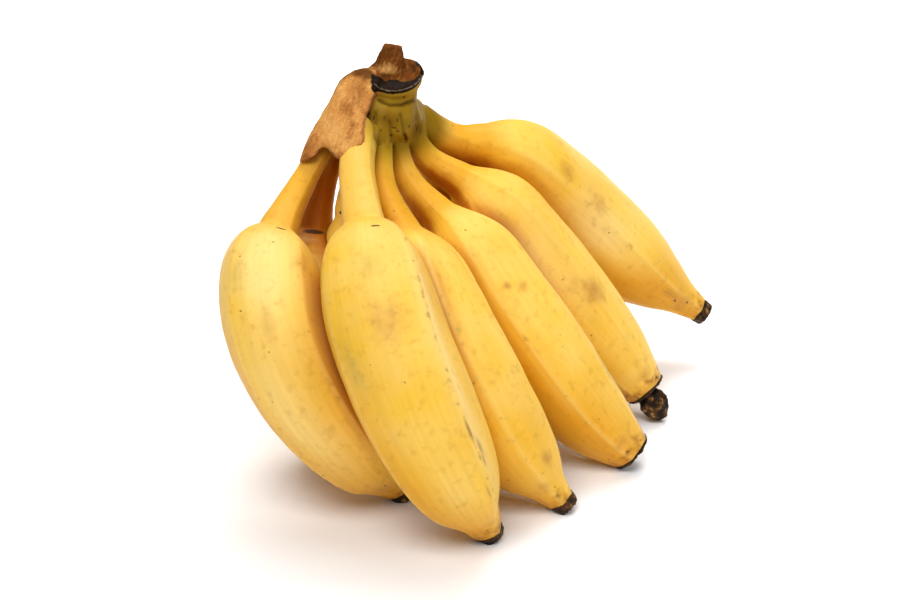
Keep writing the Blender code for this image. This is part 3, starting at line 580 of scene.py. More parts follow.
# The crown's limbs: centre points, widths and thicknesses along each, and the direction that width lies in.
# The lobe is a plate of dead leaf base; its four edges are rows of (x, v).
crownShape = {
    "voxel": 0.5,  # mm
    "smoothing": 3,
    "fleshSmoothing": 40,  # more rounds where the crown is flesh
    "sleeve": 24,  # mm that the crown's flesh runs down each neck
    "sleeveRings": 5,
    "sleeveWidest": 13.2,
    "cover": (1.3, -1.3),  # how much thicker than the neck it is at its root and at its end
    "limbs": {
        "cushion": {
            "points": [(-40, 20, 120), (-33, 25, 122), (-22, 30, 121), (-14, 41, 117)],
            "wide": [13, 18, 20, 14], "thick": [12, 15, 16, 13], "across": (0, 0, 1),
        },
        "stalk": {
            "points": [(-20.5, 26, 120), (-20.5, 25.3, 127), (-20.4, 25, 132), (-20.3, 24.8, 136)],
            "wide": [22, 19, 17, 19], "thick": [18, 17, 16, 18.5], "across": (1, 0, 0),
        },
        "disc": {
            "points": [(-20.3, 26, 134.6), (-20.3, 25.3, 136.9), (-20.3, 24.6, 139.2)],
            "wide": [18.4, 20.8, 20.4], "thick": [18, 20.8, 20.4], "across": (1, 0, 0),
        },
        "nub": {
            "points": [(-22.0, 28, 137.5), (-21.3, 29.3, 143), (-20.4, 30.3, 148.2)],
            "wide": [15, 10.2, 6.6], "thick": [12, 8.5, 6.5], "across": (1, 0, 0),
        },
        "rim": {
            "points": [
                (-17.5, 33.3, 140.2), (-13.6, 31.2, 139.9), (-11.8, 28.2, 139.4), (-10.9, 25, 138.8),
            ],
            "wide": [4, 4.4, 4.2, 3.6], "thick": [4, 4.4, 4.2, 3.6], "across": (0, 0, 1),
        },
        "base": {
            "points": [(-21, 24, 130), (-22, 20, 124), (-22.5, 16.5, 118)],
            "wide": [18, 19.5, 19], "thick": [15, 15, 11], "across": (0.8, 0.6, 0),
        },
        "fan": {
            "points": [(-24, 17, 121), (-20, 22, 120.5), (-16, 29, 120.5), (-13, 36, 119)],
            "wide": [8, 9, 9, 8], "thick": [8, 9, 9, 8], "across": (0, 0, 1),
        },
    },
    "lobe": {
        "left": [
            (-36.0, 82.0), (-39.3, 79.4), (-41.8, 74.8), (-44.3, 70.0), (-47.1, 65.0), (-50.0, 60.0),
            (-51.3, 57.2), (-52.6, 54.0), (-54.0, 49.3),
        ],
        "right": [
            (-23.0, 83.2), (-24.3, 77.5), (-26.6, 73.5), (-28.2, 69.6), (-29.9, 65.3), (-30.8, 61.0),
            (-30.9, 55.6),
        ],
        "top": [(-36.0, 82.0), (-31.5, 83.4), (-23.0, 83.2)],
        "bottom": [
            (-54.0, 49.3), (-50.0, 49.8), (-47.5, 51.8), (-45.7, 54.2), (-43.2, 53.2), (-41.8, 51.3),
            (-40.7, 50.2), (-38.9, 49.9), (-36.0, 51.6), (-33.2, 53.8), (-30.9, 55.6),
        ],
        "grid": (60, 44),
        "front": (-14.0, 82.0, -0.57),  # w at a v, and how much w changes with v
        "bend": (-30.0, 0.25, 0.012),  # left of this x the plate bends back
        "rim": 2.4,  # mm of rounding at its edges
        "thick": (10, 4.5),  # at the top and at the torn edge
        "thickFrom": (50, 83),  # the v of that edge and of that top
        "slack": 1.5,  # mm behind the plate that still count as it
        "shoulder": (-29, 66, -3),  # left of this x and above this v, skin this far outside is its too
    },
    "face": {"centre": (-20.3, 24.6, 139.2), "normal": (0, -0.316, 0.949), "radius": 10.3},
    "bite": 0.6,  # mm, how hollow the cut face is
    "lip": 0.45,  # mm, the dried edge round it
    "lipAt": (0.5, 0.3),  # mm inward from the face's edge, and its half width
    "scar": 0.25,  # mm, how deep a dark scar is
    "fold": 0.9,  # mm, how deep a fold in the flesh is
    "fleshBumps": 0.05,  # mm
    "corkBumps": 0.14,  # mm more
    "corkGrain": 0.16,
    # the sap's width in mm at the sides, how much more it is in front, how fast it grows, how ragged it is
    "sapWidth": (0.7, 7.3, 1.3, 0.8),
    "markedSide": (14, 45, -0.45),  # w at a v, and how w changes with v: the marks lie in front of that
    # where each part of the crown begins and is full, in mm or as shares
    "fades": {
        "nub": (4.5, 7.0),  # away from its middle line
        "nubFoot": (-0.2, 1.2),  # above the face
        "face": (-1.2, -0.2),  # above the face
        "faceEdge": (-1.0, 0.3),  # inward from the face's edge
        "lobe": (-1.1, -0.3),  # inside its outline
        "torn": (0.0, 1.1),  # inside its outline
        "tornShadeRight": (-54, -36),  # to the right, where the torn edge carries painted shade
        "lobeRight": (-25.5, -27.5),  # to the left
        "sapFoot": (-1.1, -0.5),  # above the face
        "sapOuter": (-0.5, 0.6),  # inward from the face's edge
        "sapBack": (-0.9, -0.5),  # from the back of the face to its front
        "sapLeft": (-28.8, -27.2),  # to the right
        "lipSides": (-0.3, 0.3),  # from the back of the face to its front
        "lipLeft": (-29.5, -26.5),  # to the right
        "cut": (-1, 0.5),  # inward from the face's edge
        "hollow": (0.8, 3.0),  # inward from the face's edge
        "disc": (-6.5, -5.5),  # above the face
        "discEdge": (-3.5, -2.5),  # inward from the face's edge
    },
    # (kind, x, v, half width, half height, strength) as seen from the front
    "patches": [
        ("pale", -41.0, 59.5, 3.6, 4.2, 1.0), ("pale", -44.5, 66.0, 2.4, 7.0, 0.8),
        ("pale", -38.6, 75.5, 2.2, 5.0, 0.6), ("pale", -36.5, 54.5, 4.5, 3.0, 0.7),
        ("pale", -32.8, 65.0, 1.6, 9.0, 0.45), ("pale", -27.0, 76.0, 3.4, 2.0, 0.5),
        ("pale", -40.6, 77.5, 2.0, 4.2, 0.8), ("brown", -31.5, 74.5, 4.2, 7.0, 0.8),
        ("brown", -37.5, 69.0, 2.6, 5.5, 0.5), ("brown", -50.2, 54.0, 3.6, 4.2, 0.8),
        ("brown", -34.5, 60.5, 2.6, 3.4, 0.4), ("brown", -21.5, 64.5, 5.0, 3.6, 0.8),
        ("shade", -31.5, 81.8, 5.0, 1.6, 1.0), ("shade", -28.6, 80.2, 3.4, 1.7, 1.0),
        ("shade", -26.8, 78.4, 2.0, 1.5, 1.0), ("pale", -28.2, 76.2, 2.2, 0.9, 0.9),
        ("brown", -12.0, 62.0, 2.6, 6.0, 0.7), ("pale", -22.5, 83.0, 3.6, 2.2, 0.75),
        ("shade", -23.2, 80.7, 1.1, 0.7, 1.0), ("shade", -12.6, 84.6, 2.0, 2.6, 0.9),
        ("shade", -25.6, 88.6, 1.2, 3.0, 0.8), ("shade", -17.4, 89.6, 0.9, 3.0, 0.7),
        ("brown", -21.0, 89.0, 3.0, 3.0, 0.6), ("shade", -27.0, 87.0, 0.9, 5.0, 0.6),
        ("brown", -16.5, 84.0, 2.0, 4.0, 0.6),
    ],
    # (row of (x, v), half width, strength) of the folds in the flesh as seen from the front, along which the
    # flesh is also painted darker as shade
    "creases": [
        (
            [(-25.7, 71.8), (-23.6, 70.5), (-20.7, 69.8), (-17.1, 70.0), (-14.3, 71.0), (-11.4, 72.6)],
            0.7, 1.0,
        ),
        ([(-25.3, 52.6), (-25.9, 57.1), (-26.9, 63.7), (-27.0, 67.0)], 0.8, 0.6),
        ([(-20.3, 53.2), (-20.9, 57.8), (-21.3, 61.3), (-21.6, 64.0)], 0.8, 0.6),
        ([(-15.0, 52.6), (-15.9, 57.1), (-16.4, 60.7), (-17.5, 66.5)], 0.8, 0.65),
        ([(-7.9, 56.1), (-10.4, 60.7), (-11.4, 64.3), (-11.9, 70.8)], 1.1, 0.55),
    ],
    # (x, v, half width, half height) of dark scars as seen from the front
    "spots": [
        (-23.4, 65.2, 0.4, 0.9), (-18.7, 64.4, 0.45, 1.0), (-20.0, 61.6, 1.2, 0.45), (-18.6, 60.4, 0.8, 0.5),
        (-21.1, 58.8, 0.7, 0.35), (-25.2, 54.6, 0.3, 1.8), (-20.5, 54.8, 0.35, 1.9), (-15.6, 58.4, 0.7, 1.5),
        (-11.9, 62.5, 0.5, 1.5), (-16.4, 72.5, 0.6, 0.5), (-14.6, 62.4, 0.4, 0.8), (-26.5, 57.0, 0.35, 1.0),
        (-23.6, 56.6, 0.3, 0.8), (-27.6, 65.0, 0.45, 1.6), (-24.6, 60.5, 0.3, 0.9),
    ],
}


def limbPoints(points, wide, thick, across, sides=36, samples=30):
    line, steps, knots = smoothLine(points, samples)
    along = unit(np.gradient(line, axis=0))
    across = np.array(across, float)
    side = unit(across - np.sum(across * along, axis=1)[:, None] * along)
    outer = np.cross(along, side)
    halfWide = np.interp(steps, knots, wide) / 2
    halfThick = np.interp(steps, knots, thick) / 2
    angles = np.arange(sides) * fullTurn / sides
    rings = (
        line[:, None, :]
        + (halfWide[:, None] * np.cos(angles))[:, :, None] * side[:, None, :]
        + (halfThick[:, None] * np.sin(angles))[:, :, None] * outer[:, None, :]
    )
    ends = [rings[0].mean(axis=0), rings[-1].mean(axis=0)]
    return np.concatenate([rings.reshape(-1, 3), ends]), samples, sides


def evenRow(row, count):  # a smooth row of (x, v) through the given ones, in even steps
    return smoothLine([(x, v, 0) for x, v in row], count)[0][:, :2]


def lobeOutline():
    edges = {side: evenRow(crownShape["lobe"][side], 20) for side in ("top", "right", "bottom", "left")}
    return np.concatenate(
        [edges["top"][:-1], edges["right"][:-1], edges["bottom"][::-1][:-1], edges["left"][::-1][:-1]]
    )


def awayFrom(row, x, v):  # how far each place is from a row of (x, v)
    place = np.stack([np.ravel(x), np.ravel(v)], axis=1)
    away = np.full(len(place), np.inf)
    for a, b in zip(row, row[1:]):
        share = np.clip((place - a) @ (b - a) / ((b - a) @ (b - a)), 0, 1)
        away = np.minimum(away, np.linalg.norm(place - a - share[:, None] * (b - a), axis=1))
    return away.reshape(np.shape(x))


def insideBy(outline, x, v):  # how far each place is inside an outline, negative outside
    closed = np.append(outline, outline[:1], axis=0)
    inside = np.zeros(np.shape(x), bool)
    for a, b in zip(closed, closed[1:]):
        crosses = (a[1] > v) != (b[1] > v)
        rise = b[1] - a[1]
        inside ^= crosses & (x < a[0] + (v - a[1]) * (b[0] - a[0]) / (rise if rise else 1e-9))
    away = awayFrom(closed, x, v)
    return np.where(inside, away, -away)


def lobeFront(x, v):
    w, level, slope = crownShape["lobe"]["front"]
    start, bend, more = crownShape["lobe"]["bend"]
    left = np.clip(start - x, 0, None)
    return w + slope * (level - v) + bend * left + more * left**2


def lobePlate():  # a closed plate between four edges
    lobe = crownShape["lobe"]
    rows, columns = lobe["grid"]
    left, right = evenRow(lobe["left"], rows), evenRow(lobe["right"], rows)
    top, bottom = evenRow(lobe["top"], columns), evenRow(lobe["bottom"], columns)
    q, p = np.linspace(0, 1, rows)[:, None, None], np.linspace(0, 1, columns)[None, :, None]
    flat = (1 - p) * left[:, None] + p * right[:, None] + (1 - q) * top[None] + q * bottom[None]
    twice = (1 - p) * (1 - q) * top[0] + p * (1 - q) * top[-1]
    flat -= twice + (1 - p) * q * bottom[0] + p * q * bottom[-1]
    x, v = flat[:, :, 0], flat[:, :, 1]
    inward = np.clip(insideBy(lobeOutline(), x, v) / lobe["rim"], 0, 1)
    round = lobe["rim"] * (1 - np.sqrt(1 - (1 - inward) ** 2))
    front = lobeFront(x, v) + round
    back = lobeFront(x, v) + np.linspace(*lobe["thick"], rows)[:, None] - 0.4 * round
    points = np.concatenate([fromFront(x, v, front).reshape(-1, 3), fromFront(x, v, back).reshape(-1, 3)])
    at = np.arange(2 * rows * columns).reshape(2, rows, columns)
    faces = []
    for i in range(rows - 1):
        for j in range(columns - 1):
            faces.append((at[0, i, j], at[0, i + 1, j], at[0, i + 1, j + 1], at[0, i, j + 1]))
            faces.append((at[1, i, j], at[1, i, j + 1], at[1, i + 1, j + 1], at[1, i + 1, j]))
    rim = [(0, j) for j in range(columns)] + [(i, columns - 1) for i in range(1, rows)]
    rim += [(rows - 1, j) for j in range(columns - 2, -1, -1)] + [(i, 0) for i in range(rows - 2, 0, -1)]
    for (i, j), (k, m) in zip(rim, rim[1:] + rim[:1]):
        faces.append((at[0, i, j], at[0, k, m], at[1, k, m], at[1, i, j]))
    return points, [tuple(int(n) for n in face) for face in faces]


def fromLine(points, line):  # mm from each point to the nearest point of a line
    squares = np.sum(points**2, axis=1)[:, None] + np.sum(line**2, axis=1) - 2 * points @ line.T
    return np.sqrt(np.clip(squares.min(axis=1), 0, None))


def fade(name, value):  # from 0 to 1 over the range where a part of the crown begins
    return smoothStep(*crownShape["fades"][name], value)


def crownParts(skin):  # what each point of the crown is made of, from 0 to 1
    shape = crownShape
    face, plate = shape["face"], shape["lobe"]
    x, v, w = toFront(skin)
    normal = unit(np.array(face["normal"], float))
    offset = skin - np.array(face["centre"])
    height = offset @ normal  # above the cut face
    flat = offset - height[:, None] * normal
    uneven = unevenness(skin, 2.2, 8)
    inward = face["radius"] - np.linalg.norm(flat, axis=1)  # from the face's edge
    ahead = -flat[:, 1] / np.maximum(np.linalg.norm(flat, axis=1), 1)
    front = np.clip(ahead, 0, 1)
    nubLine = smoothLine(shape["limbs"]["nub"]["points"], 40)[0]
    onNub = (1 - fade("nub", fromLine(skin, nubLine))) * fade("nubFoot", height)
    onFace = fade("face", height) * fade("faceEdge", inward)

    thick = np.interp(v, plate["thickFrom"], plate["thick"][::-1])
    within = insideBy(lobeOutline(), x, v)
    lobe = fade("lobe", within + 0.35 * uneven) * (w < lobeFront(x, v) + thick + plate["slack"])
    left, above, outside = plate["shoulder"]
    lobe = np.maximum(lobe, (x < left) & (v > above) & (within > outside))
    torn = 1 - fade("torn", within + 0.5 * uneven)
    # the lobe's torn edge is darker: brown where it dried, and painted shade along the right, where it
    # overhangs the flesh
    tornEdgeAndShade = lobe * torn * fade("tornShadeRight", x + 0.25 * (66 - v))
    offLobe = 1 - lobe * fade("lobeRight", x)

    least, more, growth, ragged = shape["sapWidth"]
    sapWidth = least + more * front**growth + ragged * uneven
    sap = fade("sapFoot", height + 0.3 * uneven) * (1 - onNub)
    sap *= 1 - smoothStep(sapWidth - 0.8, sapWidth + 0.8, inward)
    sap *= fade("sapOuter", inward + 0.3 * uneven + 0.9 + 1.4 * front) * fade("sapBack", ahead)
    sap *= fade("sapLeft", x + 0.8 * uneven)
    # the lip is a raised dried edge, painted pale grey partly as a painted highlight
    lipIn, lipWide = shape["lipAt"]
    lip = np.exp(-(((inward - lipIn) / lipWide) ** 2)) * onFace * fade("lipSides", front) * (1 - onNub)
    lip *= fade("lipLeft", x) * (0.75 + 0.5 * unevenness(skin, 1.6, 11))
    cut = onFace * fade("cut", inward) * (1 - sap) + onNub
    disc = fade("disc", height) * fade("discEdge", inward)
    hollow = onFace * fade("hollow", inward) * (1 - onNub)

    parts = {"lobe": lobe, "edge": tornEdgeAndShade, "sap": np.clip(sap, 0, 1), "lip": np.clip(lip, 0, 1)}
    parts["cut"] = np.clip(cut, 0, 1) * np.clip(offLobe, 0, 1)
    depth, level, slope = shape["markedSide"]
    facing = w < depth + slope * (v - level)

    def oval(atX, atV, wide, high, strength=1.0):  # a soft patch as seen from the front
        spread = ((x - atX) / wide) ** 2 + ((v - atV) / high) ** 2
        return strength * np.exp(-spread) * facing

    for kind in ("pale", "brown", "shade", "crease", "spot"):
        parts[kind] = np.zeros(len(skin))
    for kind, *patch in shape["patches"]:
        parts[kind] = np.maximum(parts[kind], oval(*patch))
    for row, wide, strength in shape["creases"]:
        away = awayFrom(np.array(row), x + 0.3 * uneven, v + 0.3 * uneven)
        parts["crease"] = np.maximum(parts["crease"], strength * np.exp(-((away / wide) ** 2)) * facing)
    for spot in shape["spots"]:
        parts["spot"] = np.maximum(parts["spot"], oval(*spot))
    return parts, disc, hollow


def eased(skin, edges, share, rounds):  # draws each point towards the middle of its neighbours
    count = np.bincount(edges.ravel(), minlength=len(skin))[:, None]
    for _ in range(rounds):
        total = np.zeros_like(skin)
        for k in range(3):
            total[:, k] = np.bincount(edges[:, 0], skin[edges[:, 1], k], len(skin))
            total[:, k] += np.bincount(edges[:, 1], skin[edges[:, 0], k], len(skin))
        skin = skin + share[:, None] * (total / count - skin)
    return skin


def addCrown(forms, cork):
    shape = crownShape
    points, faces = [], []

    def addLimb(ring):
        corners, rings, sides = ring
        faces.extend(ringFaces(rings, sides, sum(len(p) for p in points)))
        points.append(corners)

    for limb in shape["limbs"].values():
        addLimb(limbPoints(**limb))
    for form in forms.values():
        places = np.linspace(0, shape["sleeve"], shape["sleeveRings"]) / form["steps"][-1]
        cover = np.linspace(*shape["cover"], shape["sleeveRings"])
        width = 2 * (readAlong(form, "radius", places) + cover)
        width = np.minimum(width, shape["sleeveWidest"])
        addLimb(limbPoints(readAlong(form, "line", places), width, width, form["side"][0]))
    plate, plateFaces = lobePlate()
    before = sum(len(p) for p in points)
    faces.extend(tuple(before + n for n in face) for face in plateFaces)
    points.append(plate)
    rough = addObject("crown_rough", np.concatenate(points), faces)
    whole = rough.modifiers.new("oneBody", "REMESH")
    whole.mode = "VOXEL"
    whole.voxel_size = shape["voxel"] * mm
    rounding = rough.modifiers.new("rounding", "SMOOTH")
    rounding.factor = 0.5
    rounding.iterations = shape["smoothing"]
    bpy.context.view_layer.update()
    mesh = bpy.data.meshes.new_from_object(rough.evaluated_get(bpy.context.evaluated_depsgraph_get()))
    bpy.data.objects.remove(rough)

    count = len(mesh.vertices)
    skin = np.zeros(count * 3)
    mesh.vertices.foreach_get("co", skin)
    skin = skin.reshape(-1, 3) / mm + handCentre
    edges = np.zeros(2 * len(mesh.edges), int)
    mesh.edges.foreach_get("vertices", edges)
    parts, disc, hollow = crownParts(skin)
    corky = np.clip(parts["lobe"] + parts["cut"] + parts["sap"], 0, 1)
    held = np.maximum(corky, disc)
    skin = eased(skin, edges.reshape(-1, 2), 0.5 * (1 - held), shape["fleshSmoothing"])
    mesh.vertices.foreach_set("co", ((skin - handCentre) * mm).ravel())
    mesh.update()
    normal = np.zeros(count * 3)
    mesh.vertices.foreach_get("normal", normal)
    normal = normal.reshape(-1, 3)
    faces = [tuple(face.vertices) for face in mesh.polygons]
    bpy.data.meshes.remove(mesh)
    print("the crown has", len(faces), "faces")

    lift = shape["fleshBumps"] + shape["corkBumps"] * corky
    lift = lift * unevenness(skin, 3.5, 3, 3) + shape["corkGrain"] * corky * unevenness(skin, 1.1, 4, 2)
    bite = shape["bite"] * hollow * (0.6 + 0.4 * unevenness(skin, 2.0, 6))
    lift += shape["lip"] * parts["lip"] - bite
    lift -= shape["scar"] * parts["spot"] + shape["fold"] * parts["crease"] * (1 - corky)
    skin = skin + normal * lift[:, None]
    gaps = np.array([gapTo(form, skin) for form in forms.values()])
    nearest = np.argmin(gaps, axis=0)
    pale = np.array([fingers[name]["pale"] for name in forms])[nearest]
    shades = np.array([[shading(other, form) for other in forms.values()] for form in forms.values()])
    others = np.where(np.arange(len(forms))[:, None] == nearest, np.inf, gaps * shades[nearest].T)
    values = {
        **parts,
        "green": greenAt(skin),
        # room sets the painted shade on the flesh between the necks
        "room": openness(skin, others.min(axis=0)),
        "neck": paleAt(skin, pale),
    }
    thing = addObject("crown_cork", skin, faces, values)
    thing.data.materials.append(cork)
    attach(thing, "root")
    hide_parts("crown")


# The dried end of the flower on each tip. Rows are (mm from the tip, share of the tip's half width).
flowerEnds = {
    "sides": 60,
    "ringsPerRow": 5,
    "ragged": {"plain": 0.06, "cup": 0.08},  # share of the half width
    "jagged": {"plain": 0.35, "cup": 1.1},  # mm along the finger
    "budLean": (-0.1, -0.25, -0.15),
    "budWide": [6.0, 9.5, 11.0, 9.0, 3.5],
    "budThick": [5.0, 8.0, 9.0, 7.0, 3.0],
    "budFolds": [(3, 0.10, 0.5), (5, 0.08, 2.0), (8, 0.05, 1.0)],  # folds round it: count, share, phase
    "budReach": (0.8, 3.0, 6.0, 9.5),  # mm from the tip, of its widths but the last
    "budFrom": 8,  # mm: an end longer than this has kept its bud
    "longest": 5,  # mm, of an end without its bud
    "plain": [
        (-1.0, 0.85), (0.0, 1.0), (0.8, 1.01), (1.9, 0.98),
        (3.2, 0.95), (4.0, 0.84), (3.9, 0.55), (3.7, 0.10),
    ],
    "cup": [
        (-1.0, 0.85), (0.0, 0.97), (0.4, 1.0), (0.9, 0.99),
        (1.4, 0.91), (1.1, 0.72), (0.4, 0.50), (0.2, 0.10),
    ],
}


def addFlowerEnd(name, form, number, dried):
    spec = fingers[name]
    look = flowerEnds
    kind = "cup" if spec["tip"] == "blunt" else "plain"
    rows = look[kind]
    stretch = min(spec["end"], look["longest"]) / max(r[0] for r in rows) if kind == "plain" else 1
    samples = look["ringsPerRow"] * (len(rows) - 1) + 1
    knots = np.arange(len(rows))
    at = np.linspace(0, len(rows) - 1, samples)
    down = smoothValue(list(zip(knots, [r[0] for r in rows])), at) * stretch
    wide = smoothValue(list(zip(knots, [r[1] for r in rows])), at)
    tip, along = form["line"][-1], form["along"][-1]
    angles = np.arange(look["sides"]) * fullTurn / look["sides"]
    spokes = np.cos(angles)[:, None] * form["outer"][-1] + np.sin(angles)[:, None] * form["side"][-1]
    ring = np.stack([np.cos(angles), np.sin(angles), np.full_like(angles, number * 3.1)], axis=1)
    outline = unevenness(ring, 0.55, number, 3)
    jags = unevenness(ring, 0.3, number + 20, 2)
    free = smoothStep(0.0, 3.0, down)
    ragged = 1 + look["ragged"][kind] * (0.4 + free[:, None]) * outline[None, :]
    radius = form["radius"][-1] * wide[:, None] * ragged
    jagged = look["jagged"][kind] * free[:, None] * jags[None, :] * (wide[:, None] > 0.3)
    lengthwise = down[:, None] + jagged
    points = tip + lengthwise[:, :, None] * along + radius[:, :, None] * spokes[None, :, :]
    flat = points.reshape(-1, 3)
    flat = flat + 0.12 * unevenness(flat, 0.9, number + 5, 3)[:, None] * unit(flat - (tip + 2 * along))
    ends = np.array([points[0].mean(axis=0), points[-1].mean(axis=0)])
    corners, faces = [np.concatenate([flat, ends])], ringFaces(samples, look["sides"])
    if spec["end"] > look["budFrom"]:
        bud, rings, sides = driedBud(form, spec)
        faces.extend(ringFaces(rings, sides, len(corners[0])))
        corners.append(bud)
    thing = addObject(name.replace("finger", "flower_end") + "_dried", np.concatenate(corners), faces)
    thing.data.materials.append(dried)
    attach(thing, "root")
    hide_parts(name.replace("finger", "flower_end"))


def driedBud(form, spec):  # what is left of the flower where it hasn't fallen off
    look = flowerEnds
    tip, along = form["line"][-1], form["along"][-1]
    down = unit(along + np.array(look["budLean"]))
    reach = np.array([*look["budReach"], spec["end"] + 1.0])
    line = tip + 0.5 * along + reach[:, None] * down
    corners, rings, sides = limbPoints(line, look["budWide"], look["budThick"], form["side"][-1], samples=46)
    body = corners[:-2].reshape(rings, sides, 3)
    middle = body.mean(axis=1, keepdims=True)
    turn = np.arange(sides) * fullTurn / sides
    folds = sum(share * np.cos(count * turn + phase) for count, share, phase in look["budFolds"])
    late = smoothStep(0, 0.4, np.linspace(0, 1, rings))[:, None]
    body = middle + (body - middle) * (1 + late * folds[None, :])[:, :, None]
    body = body.reshape(-1, 3)
    body += 0.3 * unevenness(body, 1.8, 31, 3)[:, None] * unit(body - np.repeat(middle[:, 0], sides, axis=0))
    return np.concatenate([body, corners[-2:]]), rings, sides


def newMaterial(name):
    made = bpy.data.materials.new(name)
    made.use_nodes = True
    tree = made.node_tree
    return made, tree, tree.nodes["Principled BSDF"]


def layered(tree, colour, layers, look):  # lays (amount, tint) over a colour
    for amount, tint in layers:
        colour = addNode(tree, "Mix", {0: amount, 6: colour, 7: hexColour(look[tint])}, 2, data_type="RGBA")
    return colour


# A mark's edge wanders with a pattern: by how much, where the mark starts and is full, and its share there.
def wanderingMark(tree, mark, pattern, wander, low, full, share, **easing):
    shift = addNode(tree, "Math", {0: pattern, 1: wander, 2: -0.5 * wander}, operation="MULTIPLY_ADD")
    total = addNode(tree, "Math", {0: mark, 1: shift}, operation="ADD")
    only = addNode(tree, "Math", {0: mark, 1: 8.0}, operation="MULTIPLY", use_clamp=True)
    amount = addNode(tree, "MapRange", {0: total, 1: low, 2: full, 4: share}, **easing)
    return addNode(tree, "Math", {0: amount, 1: only}, operation="MULTIPLY")


# Banana peel: ripe, waxy and smooth, grown in one skin. Its wax gives a broad soft gloss over warm yellow,
# paler on the ridges, with painted shade in deep orange where two fingers lie close and in a richer yellow
# where the skin turns down, painted light in a paler yellow where it turns up, and green where the necks
# meet.
peelLook = {
    "yellow": "#EFBC38",
    "pale": "#F2CA68",
    # light is the painted highlight; deep is a richer tone at random and also the painted shade
    "light": "#F8D988",
    "deep": "#DB9612",
    "neck": "#EBB954",
    "green": "#7C5E06",
    "olive": "#B49A1C",
    "creviceShade": "#A6580A",
    "brown": "#BE8238",
    "rust": "#AE6A14",
    "grey": "#B09B4C",
    "scuff": "#8A5C38",
    "dark": "#33200F",
    "speck": "#7A4A1C",
    "mottleMm": 16,
    "patchMm": 45,
    "blemishMm": 3.2,
    "fibreMm": 1.6,
    "grainMm": 0.8,
    "speckMm": 6.5,
    "roughness": 0.44,
    "ior": 1.42,
    "specular": 0.22,
    "greenSpecular": 0.07,
    # (attribute, colour, pattern that its edge wanders with, by how much, where it starts and is full, share)
    "bruisesAndShade": [
        ("olive", "olive", "blemish", 0.4, 0.1, 1.1, 0.8),
        # the shade row is painted shade along the necks
        ("shade", "creviceShade", "blemish", 0.4, 0.1, 0.9, 0.95),
        ("brown", "brown", "blemish", 0.6, 0.1, 1.1, 0.8),
        ("grey", "grey", "blemish", 0.6, 0.1, 1.1, 0.75),
    ],
    "scars": [
        ("tip", "rust", "blemish", 1.6, 0.45, 1.3, 0.7),
        ("tip", "scuff", "blemish", 3.4, 1.15, 1.7, 0.6),
        ("tip", "dark", "blemish", 3.6, 1.35, 1.75, 0.75),
        ("wear", "scuff", "blemish", 3.0, 0.6, 1.5, 0.5),
        ("scuff", "scuff", "fibre", 1.3, 0.35, 1.1, 0.8),
        ("dark", "dark", "grain", 0.5, 0.35, 0.6, 0.9),
    ],
}


def fleshColour(tree, where):  # what the fingers and the crown's flesh share
    look = peelLook
    mottle = addNode(tree, "TexNoise", {"Vector": where, "Scale": perMetre(look["mottleMm"]), "Detail": 3.0})
    patch = addNode(tree, "TexNoise", {"Vector": where, "Scale": perMetre(look["patchMm"]), "Detail": 1.0})
    neck = addNode(tree, "Attribute", out=2, attribute_name="neck")
    green = addNode(tree, "Attribute", out=2, attribute_name="green")
    room = addNode(tree, "Attribute", out=2, attribute_name="room")
    layers = [
        (addNode(tree, "MapRange", {0: mottle, 1: 0.35, 2: 0.75, 4: 0.7}), "pale"),
        (addNode(tree, "MapRange", {0: patch, 1: 0.48, 2: 0.75, 4: 0.4}), "deep"),
        (neck, "neck"),
        # painted shade: a deeper yellow and then deep orange where the fingers lie close
        (addNode(tree, "MapRange", {0: room, 1: 0.95, 2: 0.15, 4: 0.85}), "deep"),
        (addNode(tree, "MapRange", {0: room, 1: 0.60, 2: 0.06, 4: 0.95}), "creviceShade"),
        (addNode(tree, "MapRange", {0: green, 2: 1.0, 4: 0.95}), "green"),
    ]
    colour = layered(tree, hexColour(look["yellow"]), layers, look)
    sheen = addNode(tree, "MapRange", {0: green, 3: look["specular"], 4: look["greenSpecular"]})
    return colour, mottle, sheen


